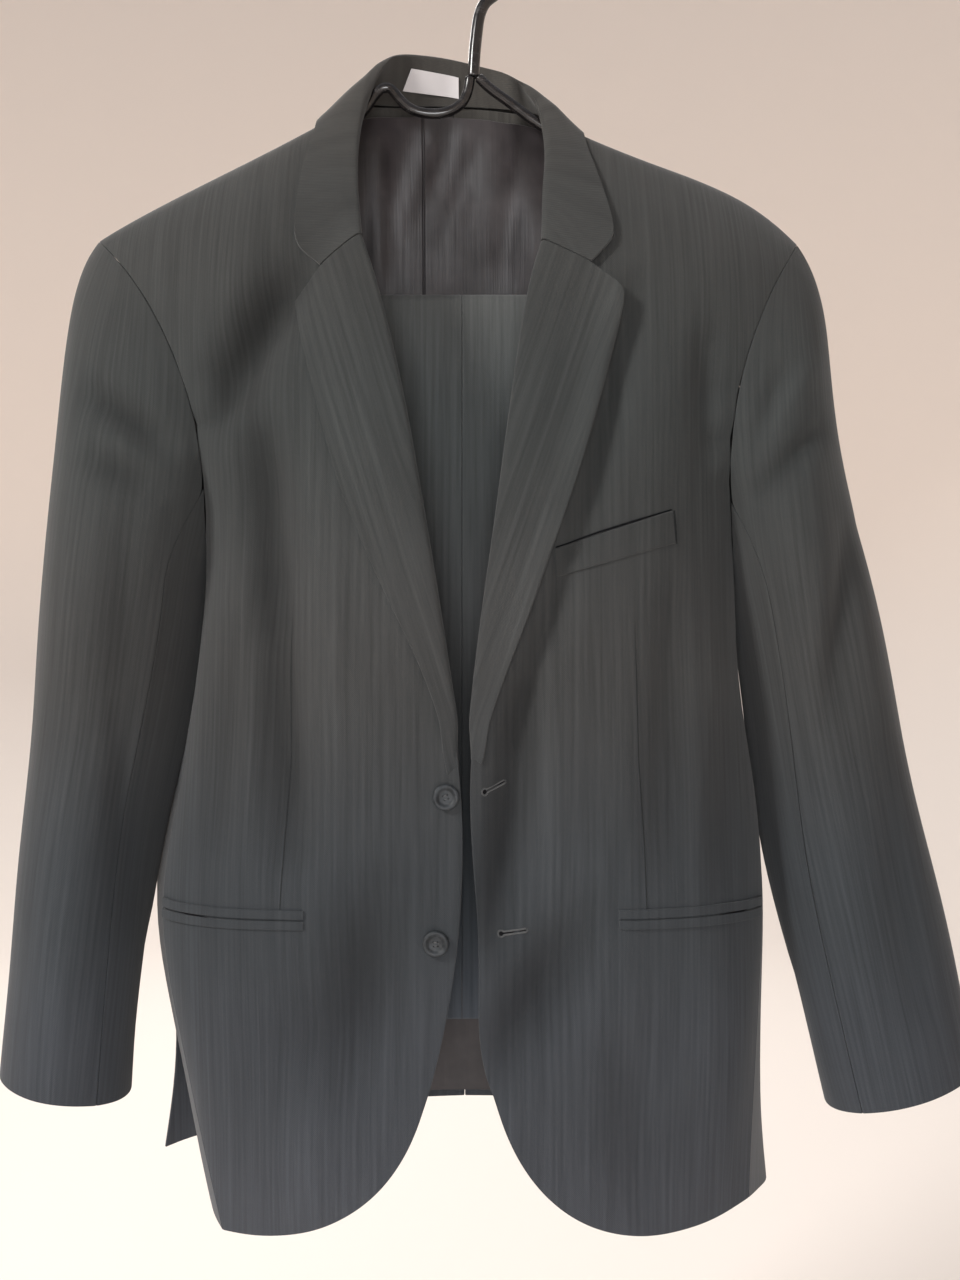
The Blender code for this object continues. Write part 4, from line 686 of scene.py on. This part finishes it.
def crease_depth(points, creases):
    """How far soft troughs between two places push in the points seen at x, z."""
    depth = np.zeros(len(points))
    seen = points[:, [0, 2]]
    for crease in creases:
        start, end = np.array([crease.x, crease.z]), np.array([crease.end_x, crease.end_z])
        run = end - start
        share = np.clip((seen - start) @ run / (run @ run), 0, 1)
        apart = np.linalg.norm(seen - start - share[:, None] * run, axis=1)
        fade = np.sin(pi * np.clip(FADE_START + FADE_SPAN * share, 0, 1)) ** FADE_BLUNT
        depth += CREASE_STRENGTH * crease.depth * fade * np.exp(-((apart / crease.width) ** 2))
    return depth


# Long, shallow unevenness that hanging cloth always has: waves by length, direction (in degrees) and height.
Wave = namedtuple("Wave", "length turn height phase")
WAVES = (
    Wave(0.21, 12, 0.0008, 0.4),
    Wave(0.13, -24, 0.0006, 2.1),
    Wave(0.083, 8, 0.00045, 4.0),
    Wave(0.17, 74, 0.0006, 1.2),
    Wave(0.052, -8, 0.00020, 0.9),
)
# How much of it each group takes, and how much waves run on from front to back.
WAVE_SHARE = {"body": 1.0, "trousers": 0.35}
SLEEVE_WAVE_SHARE = 0.8
WAVE_RUN_ON = 0.6
# Where the hanger holds the cloth it lies smooth: the heights between which creases fade in, going down.
FADE_IN = {"body": (-0.200, -0.270), "trousers": (-0.275, -0.330)}
# At the armhole seams it lies still: the distance over which creases fade in away from them, the height of
# the seams' lowest corners, and the height below which no seam is near.
SEAM_FADE = 0.030
ARMHOLE_FOOT = -0.47
ARMHOLE_REACH = -0.52
# Solids this close are sewn together.
SEWN = 0.0016
# Between the halves ahead and behind, creases change over across this depth.
HALVES_BLEND = 0.036
# The depth of a crease whose painted shade is full, and how far the painted shade goes below none, as painted
# light on ridges, and above full.
FULL_SHADE_CREASE_DEPTH = 0.0115
CREASE_SHADE_LIMITS = (-0.8, 1.2)


def unevenness(points):
    """How far the waves push in each point."""
    total = np.zeros(len(points))
    for wave in WAVES:
        turn = radians(wave.turn)
        along = points[:, 0] * cos(turn) + points[:, 2] * sin(turn) + WAVE_RUN_ON * points[:, 1]
        total += wave.height * np.sin(2 * pi * along / wave.length + wave.phase)
    return total


def tree_of(places):
    """A tree that finds the nearest of some places."""
    tree = KDTree(len(places))
    for index, place in enumerate(places):
        tree.insert(place, index)
    tree.balance()
    return tree


def armhole_places():
    """Points of the armhole seams: corners of the body's solids that a sleeve's corner all but touches."""
    found = []
    for side in SIDES:
        parts = [coordinates(NODES[f"sleeve_{part}_{side}"].data) for part in ("top", "under")]
        sleeve = tree_of(np.concatenate(parts))
        for part in ("front", "side", "back"):
            corners = coordinates(NODES[f"{part}_{side}"].data)
            high = [corner for corner in corners if corner[2] > ARMHOLE_FOOT]
            found += [corner for corner in high if sleeve.find(corner)[2] < SEWN]
    return tree_of(found)


def give(group, points):
    """How freely the cloth may move: not at the armhole seams, nor where the hanger holds it."""
    free = np.ones(len(points))
    if group in FADE_IN:
        start, end = FADE_IN[group]
        free = smoothly((points[:, 2] - start) / (end - start))
    if group != "trousers":
        near = points[:, 2] > ARMHOLE_REACH
        free[near] *= smoothly(np.array([ARMHOLES.find(point)[2] for point in points[near]]) / SEAM_FADE)
    return free


def crease(points, group, side, own):
    """Points moved by their group's creases and waves and by a piece's own, and how deep each lies in its
    creases, for the painted shade in them.
    """
    ahead = -from_sleeve_middle(points, side)[:, 1] if group.startswith("sleeve") else -points[:, 1]
    ahead = np.ones(len(points)) if group == "trousers" else smoothly(0.5 + ahead / HALVES_BLEND)
    folds = ahead * crease_depth(points, CREASES.get((group, "ahead"), ()))
    folds += (1 - ahead) * crease_depth(points, CREASES.get((group, "behind"), ()))
    free = give(group, points)
    folds = folds * free + crease_depth(points, own)
    depth = folds + free * WAVE_SHARE.get(group, SLEEVE_WAVE_SHARE) * unevenness(points)
    return points - outward(group, points, side) * depth[:, None], folds / FULL_SHADE_CREASE_DEPTH


def group_of(node, side):
    """The group of pieces that a node creases with."""
    if node.startswith("sleeve"):
        return "sleeve_" + side
    return "trousers" if node.startswith(("trouser", "waistband")) else "body"


def creased_skin(node, level, edge, lie, side):
    """A skin that carries the lie of its stripes, is creased with its group and keeps its crease depths for
    painted shade.
    """
    mesh = skin(node, level, edge)
    points = coordinates(mesh)
    lay(mesh, *lie_of(lie, points, side))
    group = group_of(node, side)
    sunk = next((depth for start, depth in LET_IN.items() if node.startswith(start)), 0)
    moved, crease_shade = crease(points, group, side, OWN_CREASES.get(node, ()))
    if lie == "lapel":
        moved += smoothly((ROLL_START - points[:, 2:]) / ROLL_RUN) * (SIDES[side] * ROLL_ASIDE, ROLL_IN, 0)
    move_to(mesh, moved - outward(group, points, side) * sunk)
    crease_shade_values = mesh.attributes.new("crease_shade", "FLOAT", "POINT")
    crease_shade_values.data.foreach_set("value", np.clip(crease_shade, *CREASE_SHADE_LIMITS))
    return mesh


def cloth_piece(cloth, node, side):
    """A panel's skin, in wool."""
    mesh = creased_skin(node, cloth.level, cloth.edge, cloth.lie, side)
    # The trousers take the wool's copy with painted light.
    finish = "trouser_wool_painted_light" if group_of(node, side) == "trousers" else "wool"
    made = piece(node + "_cloth", mesh, finish, (node,))
    return made


def wool_pieces():
    """Every panel of the jacket and the trousers, by its node."""
    made = {}
    for cloth in CLOTHS:
        for side in SIDES:
            node = f"{cloth.node}_{side}"
            made[node] = cloth_piece(cloth, node, side)
    for cloth in SINGLE_CLOTHS:
        made[cloth.node] = cloth_piece(cloth, cloth.node, "right")
    return made


# The skins of the other pieces: how often they are subdivided, and how far their rims are rounded.
TRIM_SKIN = (2, 0.0005)
LINING_SKIN = (3, 0.0003)
LABEL_SKIN = (2, 0.0002)
HANGER_SKIN = (2, 0.0006)


def trim_pieces():
    """The breast welt and the pocket jets, which lie on the fronts."""
    trims = [("breast_pocket_welt", "left", WELT_FLAT)]
    trims += [(f"pocket_{jet}_jet_{side}", side, JET_FLAT) for jet in ("upper", "lower") for side in SIDES]
    for node, side, flat in trims:
        mesh = creased_skin(node, *TRIM_SKIN, "body", side)
        made = piece(node + "_cloth", mesh, "wool", (node,))


def lining_piece():
    """The satin inside the back, which shows in the neck and under the hem."""
    mesh = creased_skin("lining_back", *LINING_SKIN, "body", "right")
    made = piece("lining_satin", mesh, "satin", ("lining_back",))


# How far the label stands out from the collar, and how crooked it is, in degrees.
LABEL_LIFT = 0.0009
LABEL_TILT = 7


def label_piece():
    """The blank label, stitched on a little crooked."""
    mesh = skin("neck_label", *LABEL_SKIN)
    points = coordinates(mesh)
    lay(mesh, *straight_lie(points))
    middle = Matrix.Translation(Vector(points.mean(axis=0)))
    turn = Matrix.Rotation(radians(LABEL_TILT), 4, "Y")
    mesh.transform(Matrix.Translation((0, -LABEL_LIFT, 0)) @ middle @ turn @ middle.inverted())
    made = piece("label_cloth", mesh, "label", ("neck_label",))


# How far the hanger's tubes are filled out.
TUBE_GROWTH = 0.0005


def hanger_pieces():
    """The hanger's tubes, filled out to the width that rounding took off them."""
    for node in ("hanger_hook", "hanger_arm_left", "hanger_arm_right", "hanger_bar"):
        mesh = skin(node, *HANGER_SKIN)
        normals = np.empty(len(mesh.vertices) * 3)
        mesh.vertices.foreach_get("normal", normals)
        move_to(mesh, coordinates(mesh) + TUBE_GROWTH * normals.reshape(-1, 3))
        piece(node + "_smooth", mesh, "plastic", (node,))


# ---------------------------------------------------------------- seams and openings drawn in the cloth


# Where rays that look for the cloth start, before everything.
VIEWPOINT = -0.5


def seen_on(surface, x, z):
    """The place and outward normal of the cloth seen from the front at x, z."""
    spot, normal, _, _ = surface.ray_cast(Vector((x, VIEWPOINT, z)), Vector((0, 1, 0)))
    return spot, normal


# Dark lines on the fronts, as places seen from the front and half widths: painted shadow in the pocket
# mouths, and darts and tacks as shadowed seam folds.
Line = namedtuple("Line", "name finish lift places")
LINES = (
    Line("pocket_mouth_right", "slit", 0.0012, (
        (-0.1170, -0.6930, 0.0002), (-0.1300, -0.6936, 0.0004), (-0.1500, -0.6938, 0.0005),
        (-0.1720, -0.6934, 0.0005), (-0.1780, -0.6915, 0.0012), (-0.1880, -0.6905, 0.0015),
        (-0.1990, -0.6880, 0.0011), (-0.2070, -0.6860, 0.0004),
    )),
    Line("pocket_mouth_left", "slit", 0.0012, (
        (0.0925, -0.6920, 0.0002), (0.1060, -0.6926, 0.0004), (0.1260, -0.6928, 0.0005),
        (0.1480, -0.6924, 0.0005), (0.1560, -0.6905, 0.0011), (0.1660, -0.6895, 0.0013),
        (0.1760, -0.6880, 0.0009), (0.1835, -0.6860, 0.0004),
    )),
    Line("welt_mouth", "slit", 0.0006, (
        (0.0500, -0.4452, 0.0004), (0.0780, -0.4352, 0.0007), (0.1040, -0.4268, 0.0008),
        (0.1295, -0.4184, 0.0004),
    )),
    Line("welt_tack", "seam", 0.0006, (
        (0.1312, -0.4190, 0.0007), (0.1322, -0.4300, 0.0009), (0.1330, -0.4415, 0.0006),
    )),
    Line("dart_right", "seam", 0.0003, (
        (-0.1265, -0.4920, 0.0001), (-0.1268, -0.5400, 0.0003), (-0.1262, -0.5860, 0.0003),
        (-0.1290, -0.6400, 0.0003), (-0.1310, -0.6840, 0.0003),
    )),
    Line("dart_left", "seam", 0.0003, (
        (0.1030, -0.4960, 0.0001), (0.1035, -0.5400, 0.0003), (0.1040, -0.5860, 0.0003),
        (0.1075, -0.6400, 0.0003), (0.1090, -0.6840, 0.0003),
    )),
)
STEPS_A_PLACE = 8


def drawn_line(line, surface):
    """A narrow ribbon that lies on the cloth along a line."""
    places = np.array(line.places)
    steps = np.linspace(0, len(places) - 1, STEPS_A_PLACE * len(places))
    x, z, half = (np.interp(steps, np.arange(len(places)), column) for column in places.T)
    spots = [seen_on(surface, *place) for place in zip(x, z)]
    rows = []
    for index, (spot, normal) in enumerate(spots):
        before, after = spots[max(index - 1, 0)][0], spots[min(index + 1, len(spots) - 1)][0]
        beside = normal.cross(after - before).normalized() * half[index]
        middle = spot + normal * line.lift
        rows.append((middle - beside, middle + beside))
    mesh = bpy.data.meshes.new(line.name)
    corners = [corner for row in rows for corner in row]
    faces = [(2 * i, 2 * i + 1, 2 * i + 3, 2 * i + 2) for i in range(len(rows) - 1)]
    mesh.from_pydata(corners, [], faces)
    mesh.shade_smooth()
    piece(line.name, mesh, line.finish)


# ---------------------------------------------------------------- buttons and buttonholes


# Half a button's section, as radii and heights over the cloth, and its four holes.
BUTTON_PROFILE = (
    (0.0, 0.0019), (0.0042, 0.0019), (0.0050, 0.0021), (0.0058, 0.0029), (0.0068, 0.0033), (0.0078, 0.0032),
    (0.0086, 0.0025), (0.0088, 0.0019), (0.0084, 0.0011), (0.0068, 0.0005), (0.0045, 0.0003), (0.0, 0.0003),
)
BUTTON_SIDES = 48
BUTTON_LIFT = 0.0004
HOLE_OFFSET = 0.0013
HOLE_RADIUS = 0.00065
HOLE_ANGLES = (45, 135, 225, 315)
DRILL_MIDDLE = 0.001
DRILL_LENGTH = 0.008

# The threads through the holes: their radius, the height they start at and how far they rise over it.
THREAD_RADIUS = 0.00022
THREAD_BED = 0.0012
THREAD_RISE = 0.0011
# Each pair of holes has two threads, the second nearer the middle by this share, and a shank under them.
SECOND_THREAD = 0.8
SHANK_STEP = 0.0006


def drills(name):
    """The four cylinders that bore a button's holes."""
    form = bmesh.new()
    reach = HOLE_OFFSET * 2**0.5
    sizes = {"radius1": HOLE_RADIUS, "radius2": HOLE_RADIUS, "depth": DRILL_LENGTH}
    for angle in map(radians, HOLE_ANGLES):
        place = Matrix.Translation((reach * cos(angle), reach * sin(angle), DRILL_MIDDLE))
        bmesh.ops.create_cone(form, cap_ends=True, segments=16, matrix=place, **sizes)
    mesh = bpy.data.meshes.new(name)
    form.to_mesh(mesh)
    form.free()
    return linked(name, mesh)


def button_mesh(name):
    """A turned disc with a raised rim and four holes bored through it."""
    disc, turn = turned(name + "_disc", BUTTON_PROFILE, BUTTON_SIDES, 1e-6)
    turn.use_normal_calculate = True
    cutter = drills(name + "_drill")
    bored = disc.modifiers.new("bored", "BOOLEAN")
    bored.object = cutter
    bored.solver = "EXACT"
    graph = bpy.context.evaluated_depsgraph_get()
    made = bpy.data.meshes.new_from_object(disc.evaluated_get(graph))
    for helper in (disc, cutter):
        bpy.data.objects.remove(helper)
    made.shade_smooth()
    made.set_sharp_from_angle(angle=radians(40))
    return made


def tubes(name, routes, radius, sides=8):
    """Round threads along short routes, as one mesh."""
    curve = bpy.data.curves.new(name, "CURVE")
    curve.dimensions = "3D"
    curve.bevel_depth = radius
    curve.bevel_resolution = sides // 4
    curve.use_fill_caps = True
    for route in routes:
        spline = curve.splines.new("POLY")
        spline.points.add(len(route) - 1)
        for point, place in zip(spline.points, route):
            point.co = (*place, 1)
    holder = linked(name, curve)
    graph = bpy.context.evaluated_depsgraph_get()
    mesh = bpy.data.meshes.new_from_object(holder.evaluated_get(graph))
    bpy.data.objects.remove(holder)
    mesh.shade_smooth()
    return mesh


def lasso(start, end, rise):
    """A stitch from one hole to another: up, over and down again."""
    a, b = Vector(start), Vector(end)
    rises = [(share, rise * sin(pi * share) ** 0.5) for share in np.linspace(0, 1, 9)]
    return [a + (b - a) * share + Vector((0, 0, height)) for share, height in rises]


def button(node, angle, surface):
    """A button sewn on the cloth, turned by an angle, with the threads that hold it."""
    low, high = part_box(node)
    mesh = button_mesh(node + "_turned")
    middle = (low + high) / 2
    spot, normal = seen_on(surface, middle.x, middle.z)
    facing = normal.to_track_quat("Z", "Y").to_matrix().to_4x4()
    place = Matrix.Translation(spot + normal * BUTTON_LIFT) @ facing @ Matrix.Rotation(radians(angle), 4, "Z")
    mesh.transform(place)
    piece(node + "_turned", mesh, "horn", (node,))
    across = HOLE_OFFSET
    rows = (-across, across, -across * SECOND_THREAD, across * SECOND_THREAD)
    routes = [lasso((-across, row, THREAD_BED), (across, row, THREAD_BED), THREAD_RISE) for row in rows]
    routes.append([Vector((0, 0, SHANK_STEP * step)) for step in (-1, 0, 1)])
    threads = tubes(node + "_thread", routes, THREAD_RADIUS)
    threads.transform(place)
    piece(node + "_thread", threads, "thread")


# A keyhole buttonhole: its length, its eyelet's radius, half the slit's width, how far the slit's end is
# rounded, and the stitches round it.
HOLE_LENGTH = 0.0165
EYELET = 0.0016
SLIT_HALF = 0.0005
SLIT_END = 0.0004
STITCH_REACH = 0.0011
STITCH_LIFT = 0.00055
STITCH_RADIUS = 0.00021
# A stitch's way out from the slit, in shares of its reach and its lift.
STITCH_RISE = ((0.0, 0.0), (0.35, 1.0), (0.8, 0.8), (1.0, 0.1))
# Half the angle at which the eyelet opens into the slit, in degrees, for the stitches and the painted shadow
# inside.
STITCHES_OPEN = 25
SHADOW_OPENS = 22
# The painted shadow of the opening inside the stitches: the eyelet's share, half its width at the end and its
# lift.
SHADOW_EYELET = 0.9
SHADOW_HALF = 0.00035
SHADOW_LIFT = 0.00022


def keyhole():
    """Places round the edge of a buttonhole, and the ways out of it there."""
    angles = np.linspace(radians(STITCHES_OPEN), radians(360 - STITCHES_OPEN), 20)
    places = [(EYELET * cos(a), EYELET * sin(a), cos(a), sin(a)) for a in angles]
    run = np.linspace(EYELET, HOLE_LENGTH, 34)
    places += [(s, -SLIT_HALF, 0, -1) for s in run]
    for a in np.linspace(-pi / 2, pi / 2, 5):
        places.append((HOLE_LENGTH + SLIT_END * cos(a), SLIT_HALF * sin(a), cos(a), sin(a)))
    return places + [(s, SLIT_HALF, 0, 1) for s in run[::-1]]


def stitch(x, y, out_x, out_y):
    """A stitch from the slit's edge over to the cloth beside it."""
    outs = [(STITCH_REACH * out, STITCH_LIFT * up) for out, up in STITCH_RISE]
    return [Vector((x + out_x * out, y + out_y * out, up)) for out, up in outs]


def painted_shadow_opening(name):
    """The flat dark shape of an eyelet and its slit: a painted shadow of the opening's inside."""
    angles = np.linspace(radians(SHADOW_OPENS), radians(360 - SHADOW_OPENS), 18)
    dark = [(EYELET * SHADOW_EYELET * cos(a), EYELET * SHADOW_EYELET * sin(a)) for a in angles]
    dark += [(HOLE_LENGTH, -SHADOW_HALF), (HOLE_LENGTH, SHADOW_HALF)]
    form = bmesh.new()
    form.faces.new([form.verts.new((x, y, SHADOW_LIFT)) for x, y in dark])
    bmesh.ops.triangulate(form, faces=form.faces)
    mesh = bpy.data.meshes.new(name)
    form.to_mesh(mesh)
    form.free()
    return mesh


def buttonhole(name, x, z, rise, surface):
    """A keyhole buttonhole at x, z with a row of close stitches round it, rising at an angle."""
    spot, normal = seen_on(surface, x, z)
    far, _ = seen_on(surface, x + HOLE_LENGTH * cos(radians(rise)), z + HOLE_LENGTH * sin(radians(rise)))
    along = (far - spot).normalized()
    up = normal.cross(along).normalized()
    place = Matrix.Translation(spot) @ Matrix((along, up, normal)).transposed().to_4x4()
    stitches = tubes(name + "_stitches", [stitch(*where) for where in keyhole()], STITCH_RADIUS, sides=4)
    stitches.transform(place)
    piece(name + "_stitches", stitches, "thread")
    opening = painted_shadow_opening(name + "_slit")
    opening.transform(place)
    piece(name + "_slit", opening, "slit")


# ---------------------------------------------------------------- stage, light and camera


def stage():
    """A pale floor that runs up all round as a bowl, so that every view has a plain ground."""
    profile = [(0.0, 0.0), (STAGE_FLOOR, 0.0)]
    for angle in np.linspace(0.1, pi / 2, 12):
        profile.append((STAGE_FLOOR + STAGE_BEND * sin(angle), STAGE_BEND * (1 - cos(angle))))
    profile.append((STAGE_FLOOR + STAGE_BEND, STAGE_HEIGHT))
    bowl, turn = turned("stage", profile, STAGE_SIDES, 1e-4)
    turn.use_smooth_shade = True
    bowl.location = STAGE_CENTRE
    bowl.data.materials.append(backdrop())


# Soft lamps: place and aim, the disc's width, its power and its colour.
Light = namedtuple("Light", "name place aim size power colour")
LIGHTS = (
    Light("key", (-1.95, -1.4, 0.95), (0.0, 0.0, -0.45), 0.6, 66, (1.0, 0.985, 0.96)),
    Light("front", (-0.12, -2.2, -0.60), (0.0, 0.0, -0.6), 0.9, 25, (0.95, 0.97, 1.0)),
    Light("back", (-0.5, 2.3, 1.2), (0.0, 0.0, -0.5), 1.6, 52, (1.0, 0.98, 0.95)),
)
ROOM_COLOUR = (0.95, 0.95, 1.0)
ROOM_STRENGTH = 0.34


def lights():
    """The room's even light and the lamps."""
    world = bpy.data.worlds.new("studio")
    world.use_nodes = True
    background = world.node_tree.nodes["Background"]
    background.inputs["Color"].default_value = (*ROOM_COLOUR, 1)
    background.inputs["Strength"].default_value = ROOM_STRENGTH
    bpy.context.scene.world = world
    for light in LIGHTS:
        lamp = bpy.data.lights.new(light.name, "AREA")
        lamp.shape = "DISK"
        lamp.size = light.size
        lamp.energy = light.power
        lamp.color = light.colour
        holder = linked(light.name, lamp)
        holder.location = light.place
        holder.rotation_euler = (Vector(light.aim) - Vector(light.place)).to_track_quat("-Z", "Y").to_euler()


def camera():
    """The photograph's camera, looking level at the suit's front."""
    lens = bpy.data.cameras.new("camera")
    lens.sensor_width = SENSOR
    lens.lens = FOCAL_PIXELS * SENSOR / PICTURE_HEIGHT
    lens.clip_start = 0.01
    holder = linked("camera", lens)
    holder.location = CAMERA_PLACE
    holder.rotation_euler = (pi / 2, 0, 0)
    bpy.context.scene.camera = holder


# ---------------------------------------------------------------- dressing


def front_surfaces(wool):
    """Each dressed front with its side panel, as a surface to lay things on."""
    surfaces = {}
    for side in SIDES:
        corners, faces = [], []
        for node in (f"front_{side}", f"side_{side}"):
            dressed = wool[node].data
            faces += [[len(corners) + corner for corner in face.vertices] for face in dressed.polygons]
            corners += coordinates(dressed).tolist()
        surfaces[side] = BVHTree.FromPolygons(corners, faces)
    return surfaces


camera()
lights()
stage()
bpy.context.scene.view_settings.view_transform = "Standard"

ARMHOLES = armhole_places()
FRONTS = front_surfaces(wool_pieces())
trim_pieces()
lining_piece()
label_piece()
hanger_pieces()
button("button_upper", 20, FRONTS["right"])
button("button_lower", 4, FRONTS["right"])
buttonhole("buttonhole_upper", 0.0030, -0.6060, 25, FRONTS["left"])
buttonhole("buttonhole_lower", 0.0140, -0.7000, 8, FRONTS["left"])
for line in LINES:
    drawn_line(line, FRONTS["right" if line.places[0][0] < 0 else "left"])
